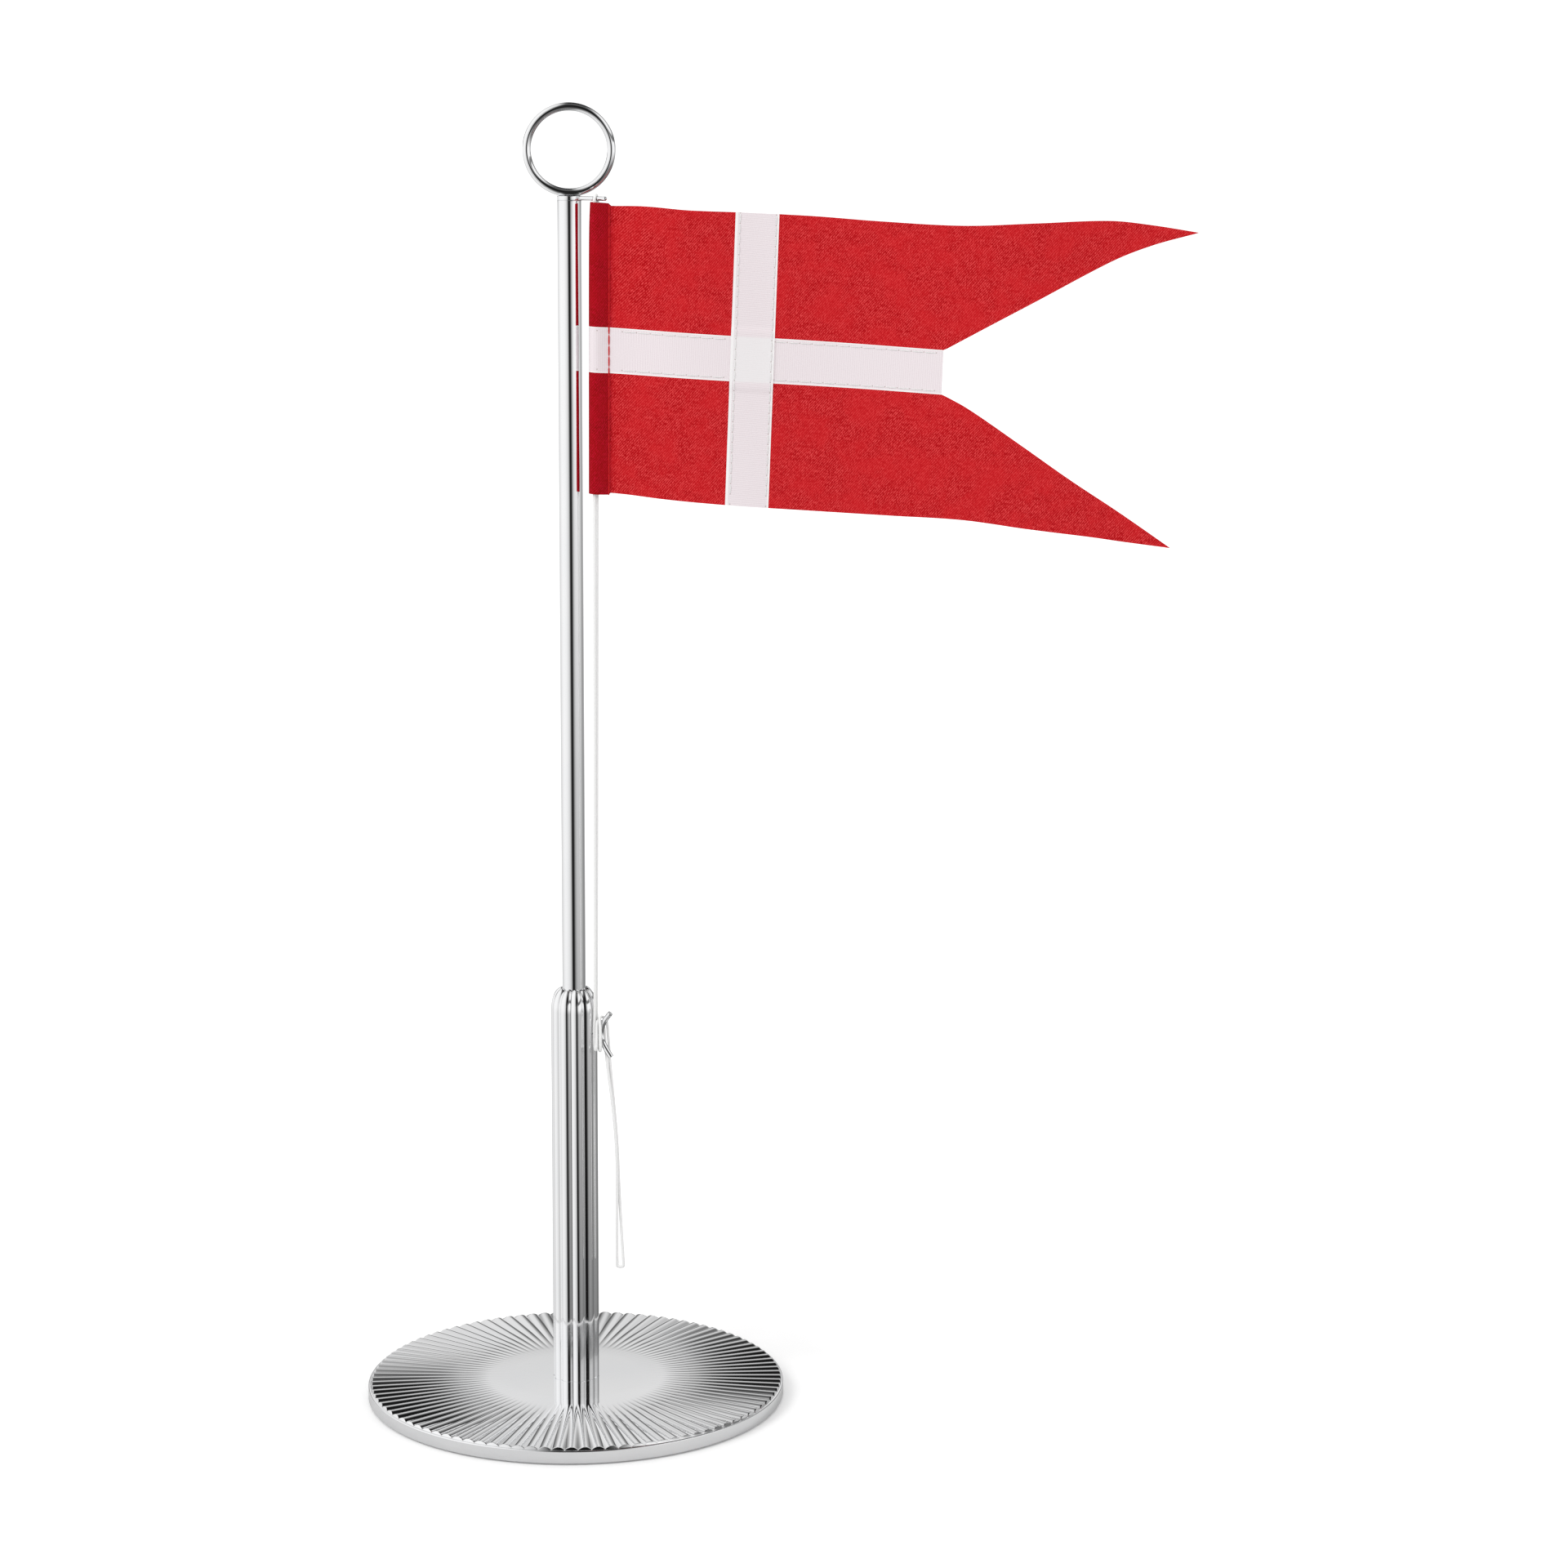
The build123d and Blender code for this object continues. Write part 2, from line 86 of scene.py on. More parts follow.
# ---- Node helpers ----
def new_material(name, **finish):
    """A material, its node tree and its shader. The finish is by socket name, with _ for a space."""
    material = bpy.data.materials.new(name)
    material.use_nodes = True
    tree = material.node_tree
    shader = tree.nodes["Principled BSDF"]
    for socket, value in finish.items():
        shader.inputs[socket.replace("_", " ")].default_value = value
    return material, tree, shader


def node(tree, kind, **settings):
    made = tree.nodes.new(kind)
    for key, value in settings.items():
        if key in made.inputs:
            made.inputs[key].default_value = value
        else:
            setattr(made, key, value)
    return made


def math_node(tree, operation, first, second=0.0):
    made = tree.nodes.new("ShaderNodeMath")
    made.operation = operation
    for socket, value in zip(made.inputs, (first, second)):
        if isinstance(value, (int, float)):
            socket.default_value = value
        else:
            tree.links.new(value, socket)
    return made.outputs[0]


def plus(tree, first, second):
    return math_node(tree, "ADD", first, second)


def minus(tree, first, second):
    return math_node(tree, "SUBTRACT", first, second)


def times(tree, first, second):
    return math_node(tree, "MULTIPLY", first, second)


def ramp(tree, source, stops):
    """Stops of (place, value), where a value is a grey from 0 to 1 or a colour."""
    made = tree.nodes.new("ShaderNodeValToRGB")
    elements = made.color_ramp.elements
    elements.remove(elements[1])
    elements[0].position = stops[0][0]
    for place, _ in stops[1:]:
        elements.new(place)
    for element, (_, value) in zip(elements, stops):
        element.color = (value, value, value, 1.0) if isinstance(value, float) else (*value, 1.0)
    tree.links.new(source, made.inputs["Fac"])
    return made.outputs["Color"]


def mix_colour(tree, factor, first, second, blend="MIX"):
    made = tree.nodes.new("ShaderNodeMix")
    made.data_type = "RGBA"
    made.blend_type = blend
    sockets = (made.inputs[0], made.inputs[6], made.inputs[7])
    for socket, value in zip(sockets, (factor, first, second)):
        if isinstance(value, (int, float)):
            socket.default_value = value
        elif isinstance(value, tuple):
            socket.default_value = (*value, 1.0)
        else:
            tree.links.new(value, socket)
    return made.outputs[2]


def noise(tree, coordinates, scale, detail=2.0, roughness=0.5):
    made = node(tree, "ShaderNodeTexNoise", Scale=scale, Detail=detail, Roughness=roughness)
    tree.links.new(coordinates, made.inputs["Vector"])
    return made.outputs["Fac"]


def vary(tree, shader, socket, source, stops):
    tree.links.new(ramp(tree, source, stops), shader.inputs[socket])


def bump(tree, shader, height, distance, strength):
    made = node(tree, "ShaderNodeBump", Strength=strength, Distance=distance)
    tree.links.new(height, made.inputs["Height"])
    tree.links.new(made.outputs["Normal"], shader.inputs["Normal"])


def object_coordinates(tree):
    return tree.nodes.new("ShaderNodeTexCoord").outputs["Object"]


# ---- Materials ----
def polished_chrome():
    material, tree, shader = new_material("polished_chrome", Metallic=1.0)
    coordinates = object_coordinates(tree)
    tint = noise(tree, coordinates, 40.0)
    vary(tree, shader, "Base Color", tint, [(0.35, (0.93, 0.935, 0.945)), (0.65, (0.955, 0.955, 0.96))])
    haze = noise(tree, coordinates, 160.0, 4.0, 0.6)
    vary(tree, shader, "Roughness", haze, [(0.35, 0.025), (0.75, 0.06)])
    bump(tree, shader, noise(tree, coordinates, 900.0, 3.0), 0.00001, 0.15)
    return material


def turned_steel():
    material, tree, shader = new_material("turned_steel", Metallic=1.0)
    coordinates = object_coordinates(tree)
    rings = node(tree, "ShaderNodeTexWave", bands_direction="Z", Scale=900.0, Distortion=1.0)
    tree.links.new(coordinates, rings.inputs["Vector"])
    greys = [(0.0, (0.5, 0.5, 0.52)), (1.0, (0.63, 0.63, 0.65))]
    vary(tree, shader, "Base Color", rings.outputs["Fac"], greys)
    vary(tree, shader, "Roughness", noise(tree, coordinates, 500.0), [(0.3, 0.28), (0.7, 0.42)])
    bump(tree, shader, rings.outputs["Fac"], 0.00003, 0.4)
    return material


def dense_felt():
    material, tree, shader = new_material("dense_felt", Roughness=0.95, Sheen_Weight=0.3)
    fibre = noise(tree, object_coordinates(tree), 1400.0, 6.0, 0.7)
    vary(tree, shader, "Base Color", fibre, [(0.3, (0.02, 0.02, 0.022)), (0.75, (0.075, 0.075, 0.08))])
    bump(tree, shader, fibre, 0.0002, 0.8)
    return material


def braided_cord():
    material, tree, shader = new_material("braided_cord", Roughness=0.7, Sheen_Weight=0.2)
    fibre = noise(tree, object_coordinates(tree), 2600.0, 4.0, 0.6)
    vary(tree, shader, "Base Color", fibre, [(0.3, (0.86, 0.86, 0.855)), (0.7, (0.95, 0.95, 0.945))])
    bump(tree, shader, fibre, 0.00008, 0.5)
    return material


def thread(name, dark, light):
    material, tree, shader = new_material(name, Roughness=0.6, Specular_IOR_Level=0.25)
    fibre = noise(tree, object_coordinates(tree), 4200.0, 3.0, 0.6)
    vary(tree, shader, "Base Color", fibre, [(0.3, dark), (0.7, light)])
    bump(tree, shader, fibre, 0.00004, 0.5)
    return material


def attribute_axes(tree, name):
    """A vector that the cloth carries at its points, and its three parts."""
    attribute = node(tree, "ShaderNodeAttribute", attribute_name=name)
    split = tree.nodes.new("ShaderNodeSeparateXYZ")
    tree.links.new(attribute.outputs["Vector"], split.inputs[0])
    return attribute.outputs["Vector"], split.outputs


def wave_between(tree, turns):
    """0 to 1 and back, once for each turn."""
    sine = math_node(tree, "SINE", times(tree, turns, 2.0 * math.pi))
    return plus(tree, times(tree, sine, 0.5), 0.5)


def red_twill():
    """Red cloth. Its cut gives the length along it, the height up it and where it is doubled; the doubled
    part is darkened, partly as the doubled cloth's own tone and partly as painted shade.
    """
    finish = {"Roughness": 0.7, "Specular_IOR_Level": 0.12, "Sheen_Weight": 0.02}
    material, tree, shader = new_material("red_twill", **finish)
    cut, (along, up, doubled) = attribute_axes(tree, "cut")
    wander = times(tree, noise(tree, cut, 0.6, 2.0), 0.8)
    diagonal = minus(tree, times(tree, up, 1.2), times(tree, along, 1.45))
    wale = wave_between(tree, plus(tree, diagonal, wander))
    streaks = node(tree, "ShaderNodeVectorMath", operation="MULTIPLY")
    tree.links.new(cut, streaks.inputs[0])
    streaks.inputs[1].default_value = (2.3, 1.3, 1.0)
    yarn = noise(tree, streaks.outputs["Vector"], 1.0, 4.0, 0.75)
    slub = noise(tree, streaks.outputs["Vector"], 0.22, 2.0)
    threads = plus(tree, times(tree, wale, 0.14), times(tree, yarn, 0.74))
    height = plus(tree, threads, times(tree, slub, 0.12))
    # The ramp's top stop is pale and pinkish: painted sheen on the raised yarn.
    base = ramp(tree, height, [
        (0.40, (0.39, 0.0, 0.003)), (0.50, (0.51, 0.003, 0.008)), (0.59, (0.76, 0.065, 0.068)),
    ])
    worn = ramp(tree, noise(tree, cut, 0.11, 3.0, 0.6), [(0.42, 0.0), (0.62, 0.48)])
    clouded = mix_colour(tree, worn, base, (0.64, 0.014, 0.019))
    # The doubled sleeve and hem are multiplied darker and deeper red: partly the doubled cloth's own tone,
    # partly painted shade.
    shaded = mix_colour(tree, doubled, clouded, (0.66, 0.05, 0.35), "MULTIPLY")
    tree.links.new(shaded, shader.inputs["Base Color"])
    bump(tree, shader, height, 0.00008, 0.5)
    return material


def satin_tape(name, width, rows, selvedges, pitch):
    """White tape. Its cut gives the length along it, the place across it and where it lies on white.
    Each row of stitches has a needle hole at every pitch, painted a dark grey-brown as shade in the hole."""
    material, tree, shader = new_material(name, Roughness=0.45, Specular_IOR_Level=0.35, Sheen_Weight=0.06)
    cut, (lengthwise, across, doubled) = attribute_axes(tree, "cut")
    pick = wave_between(tree, math_node(tree, "DIVIDE", lengthwise, 0.42))
    height = plus(tree, times(tree, pick, 0.35), times(tree, noise(tree, cut, 6.0, 2.0), 0.65))
    pinks = [(0.2, (0.72, 0.63, 0.66)), (0.5, (0.845, 0.765, 0.79)), (0.8, (0.94, 0.87, 0.89))]
    pink = ramp(tree, height, pinks)
    body = mix_colour(tree, doubled, pink, (0.86, 0.83, 0.84))
    near = minus(tree, across, selvedges[0])
    far = minus(tree, width - selvedges[1], across)
    inside = times(tree, math_node(tree, "MINIMUM", near, far), 2.0)
    selvedge = ramp(tree, plus(tree, inside, 0.5), [(0.35, 1.0), (0.6, 0.0)])
    edged = mix_colour(tree, selvedge, body, (0.93, 0.91, 0.91))
    off_rows = [math_node(tree, "ABSOLUTE", minus(tree, across, row)) for row in rows]
    off_row = math_node(tree, "MINIMUM", *off_rows)
    off_end = math_node(tree, "PINGPONG", lengthwise, pitch / 2.0)
    square = plus(tree, times(tree, off_end, off_end), times(tree, off_row, off_row))
    hole = ramp(tree, math_node(tree, "SQRT", square), [(0.08, 0.8), (0.26, 0.0)])
    # Painted shade: the needle holes are darkened to a grey-brown.
    tree.links.new(mix_colour(tree, hole, edged, (0.42, 0.34, 0.31)), shader.inputs["Base Color"])
    raised = plus(tree, height, times(tree, selvedge, 1.2))
    bump(tree, shader, minus(tree, raised, times(tree, hole, 2.0)), 0.00006, 0.5)
    return material


BAR_WIDTH, BAR_ROWS, BAR_SELVEDGES, BAR_PITCH = 13.1, (1.0, 12.1), (0.35, 0.35), 3.6
UPRIGHT_WIDTH, UPRIGHT_ROWS, UPRIGHT_SELVEDGES, UPRIGHT_PITCH = 12.6, (1.4, 11.8), (0.8, 0.5), 3.0
CHROME = polished_chrome()
STEEL = turned_steel()
FELT = dense_felt()
CORD = braided_cord()
RED = red_twill()
BAR_TAPE = satin_tape("bar_tape", BAR_WIDTH, BAR_ROWS, BAR_SELVEDGES, BAR_PITCH)
UPRIGHT_TAPE = satin_tape("upright_tape", UPRIGHT_WIDTH, UPRIGHT_ROWS, UPRIGHT_SELVEDGES, UPRIGHT_PITCH)
RED_THREAD = thread("red_thread", (0.50, 0.006, 0.010), (0.66, 0.016, 0.018))
WHITE_THREAD = thread("white_thread", (0.72, 0.72, 0.71), (0.88, 0.88, 0.87))


# ---- Mesh helpers ----
def add_piece(name, points, faces, material, sharp_angle=20.0):
    """A smooth-shaded mesh piece from points in millimetres."""
    mesh = bpy.data.meshes.new(name)
    mesh.from_pydata([tuple(float(c) * MM for c in point) for point in points], [], faces)
    mesh.shade_smooth()
    mesh.set_sharp_from_angle(angle=math.radians(sharp_angle))
    mesh.materials.append(material)
    piece = bpy.data.objects.new(name, mesh)
    scene.collection.objects.link(piece)
    return piece


def lathe(name, rows, columns, material, place=None, closed=False):
    """A turned piece. Each row is (radius, height), each a number or an array over the angle.
    The rows run round the material's section with the metal on their left."""
    angles = np.arange(columns) * 2.0 * math.pi / columns
    points, first = [], []
    for radius, height in rows:
        first.append(len(points))
        if not isinstance(radius, np.ndarray) and radius == 0.0:
            points.append((0.0, 0.0, height))
            continue
        radius, height = np.broadcast_to(radius, columns), np.broadcast_to(height, columns)
        points += list(zip(radius * np.cos(angles), radius * np.sin(angles), height))
    sizes = np.diff(first + [len(points)])
    faces = []
    pairs = list(zip(range(len(rows) - 1), range(1, len(rows))))
    if closed:
        pairs.append((len(rows) - 1, 0))
    for lower, upper in pairs:
        for column in range(columns):
            following = (column + 1) % columns
            a, b = first[lower] + column, first[lower] + following
            c, d = first[upper] + following, first[upper] + column
            if sizes[lower] == 1:
                faces.append((first[lower], c, d))
            elif sizes[upper] == 1:
                faces.append((a, b, first[upper]))
            else:
                faces.append((a, b, c, d))
    if place is not None:
        points = [place @ Vector(point) for point in points]
    return add_piece(name, points, faces, material)


def sweep(points, radii, sides, start):
    """Points and faces of a round bar along points, with closed ends. Start is its first point's number."""
    made, faces = [], []
    count = len(points)
    normal = None
    for index, point in enumerate(points):
        tangent = (points[min(index + 1, count - 1)] - points[max(index - 1, 0)]).normalized()
        if normal is None:
            normal = tangent.orthogonal().normalized()
        normal = (normal - tangent * normal.dot(tangent)).normalized()
        binormal = tangent.cross(normal)
        for side in range(sides):
            turn = 2.0 * math.pi * side / sides
            made.append(point + (normal * math.cos(turn) + binormal * math.sin(turn)) * radii[index])
    for ring in range(count - 1):
        for side in range(sides):
            following = (side + 1) % sides
            low, high = start + ring * sides, start + (ring + 1) * sides
            faces.append((low + side, low + following, high + following, high + side))
    bottom, top = start + len(made), start + len(made) + 1
    made += [points[0], points[-1]]
    last = start + (count - 1) * sides
    for side in range(sides):
        following = (side + 1) % sides
        faces.append((start + following, start + side, bottom))
        faces.append((last + side, last + following, top))
    return made, faces


def finish_piece(piece, body, slot, *nodes):
    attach(piece, body)
    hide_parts(*nodes)
    return piece


def chrome_piece(piece, *nodes):
    return finish_piece(piece, "stand", "chrome", *nodes)


def arc_rows(centre_radius, centre_height, size, start, end, steps):
    """Rows of a rounded edge, from one angle to another in degrees."""
    rows = []
    for step in range(steps + 1):
        turn = math.radians(start + (end - start) * step / steps)
        rows.append((centre_radius + size * math.cos(turn), centre_height + size * math.sin(turn)))
    return rows


def along_outward(height):
    """Puts a piece turned about +Z so that its axis runs outward from the pole's axis."""
    turn = Matrix((OUTWARD.cross(UP) * -1.0, UP, OUTWARD)).transposed().to_4x4()
    return Matrix.Translation(UP * height) @ turn


# ---- Halyard: one closed loop of cord, drawn as one spline that starts and ends on top of the arm ----
CORD_DIAMETER = 0.9
FRONT_ROUTE = [
    (7.6, -0.5, 124.0), (7.5, -0.62, 118.5), (7.65, -1.08, 114.4), (7.75, -1.04, 109.0), (9.1, -2.5, 109.0),
    (9.0, -2.05, 112.6), (8.8, -1.6, 115.6), (8.55, -0.95, 117.75), (8.6, 0.95, 117.65), (9.55, 1.65, 115.4),
    (9.7, 1.62, 112.4), (9.95, 1.6, 109.2), (10.85, 0.9, 104.0), (12.31, 1.56, 92.0), (13.28, 2.07, 79.5),
    (13.45, 2.17, 67.0), (13.18, 2.25, 54.0), (13.13, 2.56, 42.0),
]
BACK_ROUTE = [
    (7.6, 0.5, 124.0), (7.5, 0.62, 118.5), (7.65, 1.08, 114.4), (7.95, 1.0, 108.5), (10.25, -1.75, 108.5),
    (10.2, -1.9, 112.2), (10.1, -1.65, 115.6), (9.35, -1.1, 118.85), (9.45, 1.1, 118.85), (10.4, 1.95, 117.1),
    (10.1, 2.8, 113.3), (10.7, 2.4, 109.4), (11.22, 2.11, 104.0), (12.19, 2.62, 92.0), (13.07, 3.1, 79.5),
    (13.43, 3.28, 67.0), (14.05, 3.39, 54.0), (14.81, 3.45, 42.0),
]
ARM_TOP = HALYARD_HIGH + HALYARD_UP * STRAND_SPREAD
NEAR_BEND = 5.4  # six cord diameters below the arm


def strand_place(side, height):
    """The straight stretch of one strand, from the arm down to the first point of its route."""
    high = HALYARD_HIGH + SIDEWAYS * side
    low = beside_pole(*(FRONT_ROUTE if side < 0 else BACK_ROUTE)[0])
    return low.lerp(high, (height - low.z) / (high.z - low.z))


def halyard_route():
    """The control points of the whole loop: down the front strand, round the tail, up the back one."""
    def strand(side, route_below):
        over_arm = HALYARD_HIGH + SIDEWAYS * side + HALYARD_UP * STRAND_SPREAD
        beside_arm = strand_place(side, ARM_HEIGHT - NEAR_BEND)
        return [over_arm, beside_arm] + [beside_pole(*point) for point in route_below]

    front = strand(-STRAND_SPREAD, FRONT_ROUTE)
    back = strand(STRAND_SPREAD, BACK_ROUTE)
    drop = UP * (back[-1] - front[-1]).length / 2.0
    fold = [front[-1] - drop, back[-1] - drop]
    return [ARM_TOP] + front + fold + back[::-1] + [ARM_TOP]


route = halyard_route()
halyard_curve = bpy.data.curves.new("halyard", "CURVE")
halyard_curve.dimensions = "3D"
halyard_spline = halyard_curve.splines.new("NURBS")
halyard_spline.points.add(len(route) - 1)
for control, point in zip(halyard_spline.points, route):
    control.co = (*(point * MM), 1.0)
halyard_spline.order_u = 3
halyard_spline.use_endpoint_u = True
halyard_spline.resolution_u = 12
halyard_curve.bevel_depth = CORD_DIAMETER * MM / 2.0
halyard_curve.bevel_resolution = 5
halyard_curve.materials.append(CORD)
halyard = bpy.data.objects.new("halyard", halyard_curve)
scene.collection.objects.link(halyard)
finish_piece(halyard, "stand", "white_cord", "halyard_front", "halyard_back", "halyard_bight", "halyard_fold")

# ---- Base, felt, stem and pole ----
BASE_RADIUS, RIM_LOW, RIM_HIGH, RIM_ROUND = 63.2, 0.3, 4.2, 0.35
LOW_ROUND = 0.25
LEDGE_RADIUS = 62.55
RIB_COUNT, RIB_COLUMNS, RIB_ROWS = 100, 14, 44
RIB_CREST, BASE_TOP, RIB_START, RIB_DEPTH = 5.0, 5.3, 26.0, 0.7
RIB_FADE = 1.3  # the power with which the valleys deepen outward
RIB_END_DRAFT, RIB_END_ROUND, RIB_END_STEPS = 0.38, 0.12, 4  # the ribs' ends lean in and break over
FELT_HOLE, FELT_TOP = 60.7, 1.3
SCREW_HOLE, HEAD_HOLE, HEAD_TOP = 2.65, 4.5, 3.4


def build_base():
    columns = RIB_COUNT * RIB_COLUMNS
    phase = (np.arange(columns) % RIB_COLUMNS) / RIB_COLUMNS - 0.5
    valley = (2.0 * np.abs(phase)) ** 2  # 1 in a valley, 0 on a crest

    def rib_height(radius):
        share = (radius - RIB_START) / (LEDGE_RADIUS - RIB_START)
        return BASE_TOP + (RIB_CREST - BASE_TOP) * share - RIB_DEPTH * share**RIB_FADE * valley

    rows = [(SCREW_HOLE, BASE_TOP), (SCREW_HOLE, HEAD_TOP), (HEAD_HOLE, HEAD_TOP), (HEAD_HOLE, FELT_TOP)]
    rows += [(FELT_HOLE, FELT_TOP), (FELT_HOLE, RIM_LOW)]
    rows += arc_rows(BASE_RADIUS - LOW_ROUND, RIM_LOW + LOW_ROUND, LOW_ROUND, -90.0, 0.0, 4)
    rows += arc_rows(BASE_RADIUS - RIM_ROUND, RIM_HIGH - RIM_ROUND, RIM_ROUND, 0.0, 90.0, 7)
    rows += [(LEDGE_RADIUS + 0.1, RIM_HIGH), (LEDGE_RADIUS, RIM_HIGH + 0.02)]
    rib_end = rib_height(LEDGE_RADIUS)
    lean = (rib_end - RIM_HIGH) * RIB_END_DRAFT
    rise = rib_end - RIB_END_ROUND * 0.4 - RIM_HIGH
    for step in range(1, RIB_END_STEPS + 1):
        share = step / RIB_END_STEPS
        rows.append((LEDGE_RADIUS - lean * share, RIM_HIGH + rise * share))
    rows.append((LEDGE_RADIUS - lean - RIB_END_ROUND, rib_end))
    for radius in np.linspace(LEDGE_RADIUS - 0.7, RIB_START, RIB_ROWS):
        rows.append((float(radius), rib_height(float(radius))))
    rows += [(RIB_START - 6.0, BASE_TOP), (7.5, BASE_TOP)]
    return lathe("base_disc_chrome", rows, columns, CHROME, closed=True)


chrome_piece(build_base(), "base_disc")

FELT_RADIUS = 60.5


def build_felt():
    """The felt, with a slightly frayed edge."""
    rng = np.random.default_rng(3)
    columns = 240
    fuzz = rng.uniform(-0.12, 0.0, (4, columns))
    rows = [(0.0, 0.0), (30.0, 0.0), (FELT_RADIUS - 0.5, 0.0)]
    rows += [(FELT_RADIUS + fuzz[0] - 0.1, 0.15), (FELT_RADIUS + fuzz[1], 0.5)]
    rows += [(FELT_RADIUS + fuzz[2], 0.9), (FELT_RADIUS + fuzz[3] - 0.05, FELT_TOP), (0.0, FELT_TOP)]
    return lathe("felt_disc", rows, columns, FELT)


finish_piece(build_felt(), "stand", "felt", "base_felt")

STEM_TOP, SHOULDER_LOW, SHOULDER_STEPS = 127.0, 120.0, 18
FLUTE_COUNT, FLUTE_COLUMNS = 10, 36
FLUTE_OUTER, FLUTE_ROUND, FLUTE_START = 7.02, 2.0, -77.7
VALLEY_ROUND = 0.2  # how softly two flutes meet
SHOULDER_INNER = 3.6
FLUTE_SCALLOP = 0.9  # how far the valleys dip at the top, as a share of their depth
POLE_FOOT, POLE_SOCKET = 107.0, 3.55
SCREW_BORE, SCREW_TOP = 2.52, 19.3
STUD_BORE, STUD_LOW, STUD_HIGH = 2.02, 97.5, 118.5
EDGE = 0.15


def build_stem():
    """Round flutes side by side, each a part of a circle round a centre of its own."""
    columns = FLUTE_COUNT * FLUTE_COLUMNS
    centre_radius = FLUTE_OUTER - FLUTE_ROUND
    pitch = 2.0 * math.pi / FLUTE_COUNT
    angles = np.arange(columns) * 2.0 * math.pi / columns
    off_crest = (angles - math.radians(FLUTE_START) + pitch / 2.0) % pitch - pitch / 2.0
    across, out = centre_radius * np.sin(off_crest), centre_radius * np.cos(off_crest)
    outline = out + np.sqrt(FLUTE_ROUND**2 - across**2)
    cut = FLUTE_OUTER - outline
    deepest = cut.max()
    rounded = deepest - np.sqrt((deepest - cut) ** 2 + VALLEY_ROUND**2)
    depth = rounded + (math.hypot(deepest, VALLEY_ROUND) - deepest) * (1.0 - cut / deepest)
    outline = FLUTE_OUTER - depth
    rows = [(0.0, SCREW_TOP), (SCREW_BORE, SCREW_TOP), (SCREW_BORE, BASE_TOP)]
    rows += [(outline - EDGE, BASE_TOP), (outline, BASE_TOP + EDGE)]
    rows += [(outline, float(height)) for height in np.linspace(30.0, SHOULDER_LOW, 4)]
    for step in range(1, SHOULDER_STEPS + 1):
        turn = math.radians(90.0 * step / SHOULDER_STEPS)
        radius = SHOULDER_INNER + (FLUTE_OUTER - SHOULDER_INNER) * math.cos(turn)
        height = SHOULDER_LOW + (STEM_TOP - SHOULDER_LOW) * math.sin(turn)
        shrink = (radius - SHOULDER_INNER) / (FLUTE_OUTER - SHOULDER_INNER)
        rows.append((radius - depth * shrink**0.5, height - depth * (1.0 - shrink) * FLUTE_SCALLOP))
    rows += [(POLE_SOCKET, STEM_TOP - 1.0), (POLE_SOCKET, POLE_FOOT), (STUD_BORE, POLE_FOOT)]
    rows += [(STUD_BORE, STUD_LOW), (0.0, STUD_LOW)]
    return lathe("stem_fluted_chrome", rows, columns, CHROME)


chrome_piece(build_stem(), "fluted_stem")

POLE_RADIUS, POLE_TOP = 3.53, 360.1
TOP_BORE, TOP_BORE_LOW = 1.52, 349.6
pole_rows = [(0.0, STUD_HIGH), (STUD_BORE, STUD_HIGH), (STUD_BORE, POLE_FOOT)]
pole_rows += [(POLE_RADIUS, POLE_FOOT), (POLE_RADIUS, 200.0), (POLE_RADIUS, 300.0)]
pole_rows += arc_rows(POLE_RADIUS - EDGE, POLE_TOP - EDGE, EDGE, 0.0, 90.0, 5)
pole_rows += [(TOP_BORE, POLE_TOP), (TOP_BORE, TOP_BORE_LOW), (0.0, TOP_BORE_LOW)]
chrome_piece(lathe("pole_chrome", pole_rows, 144, CHROME), "pole")

# ---- Collar, arm and ring ----
COLLAR_TOP = 361.4
collar_rows = [(TOP_BORE, COLLAR_TOP), (TOP_BORE, POLE_TOP)]
collar_rows += arc_rows(POLE_RADIUS - EDGE, POLE_TOP + EDGE, EDGE, -90.0, 0.0, 5)
collar_rows += arc_rows(POLE_RADIUS - EDGE, COLLAR_TOP - EDGE, EDGE, 0.0, 90.0, 5)
chrome_piece(lathe("collar_chrome", collar_rows, 144, CHROME, closed=True), "arm_collar")

ARM_RADIUS, ARM_TIP, ARM_TENON, ARM_FOOT = 0.63, 12.6, 0.4, 1.9
ARM_FILLET = [(0.78, -0.05), (0.74, 0.12), (0.66, 0.3), (ARM_RADIUS, 0.6)]  # (radius, out of the pole)
GROOVE_RADIUS, GROOVE_SHOULDER, GROOVE_START, GROOVE_END = 0.5, 0.57, 8.4, 9.5
arm_rows = [(0.0, ARM_FOOT), (ARM_TENON, ARM_FOOT), (ARM_TENON, POLE_RADIUS - 0.1)]
arm_rows += [(radius, POLE_RADIUS + out) for radius, out in ARM_FILLET]
arm_rows += [(ARM_RADIUS, GROOVE_START - 0.2), (GROOVE_SHOULDER, GROOVE_START - 0.1)]
arm_rows.append((GROOVE_RADIUS, GROOVE_START))
arm_rows += [(GROOVE_RADIUS, GROOVE_END), (GROOVE_SHOULDER, GROOVE_END + 0.1), (ARM_RADIUS, GROOVE_END + 0.2)]
arm_rows += arc_rows(0.0, ARM_TIP - ARM_RADIUS, ARM_RADIUS, 0.0, 80.0, 7)
arm_rows += [(0.0, ARM_TIP)]
chrome_piece(lathe("arm_chrome", arm_rows, 48, CHROME, along_outward(ARM_HEIGHT)), "arm_rod")

RING_OUTER, RING_SECTION, RING_CENTRE = 13.45, 1.22, 374.55


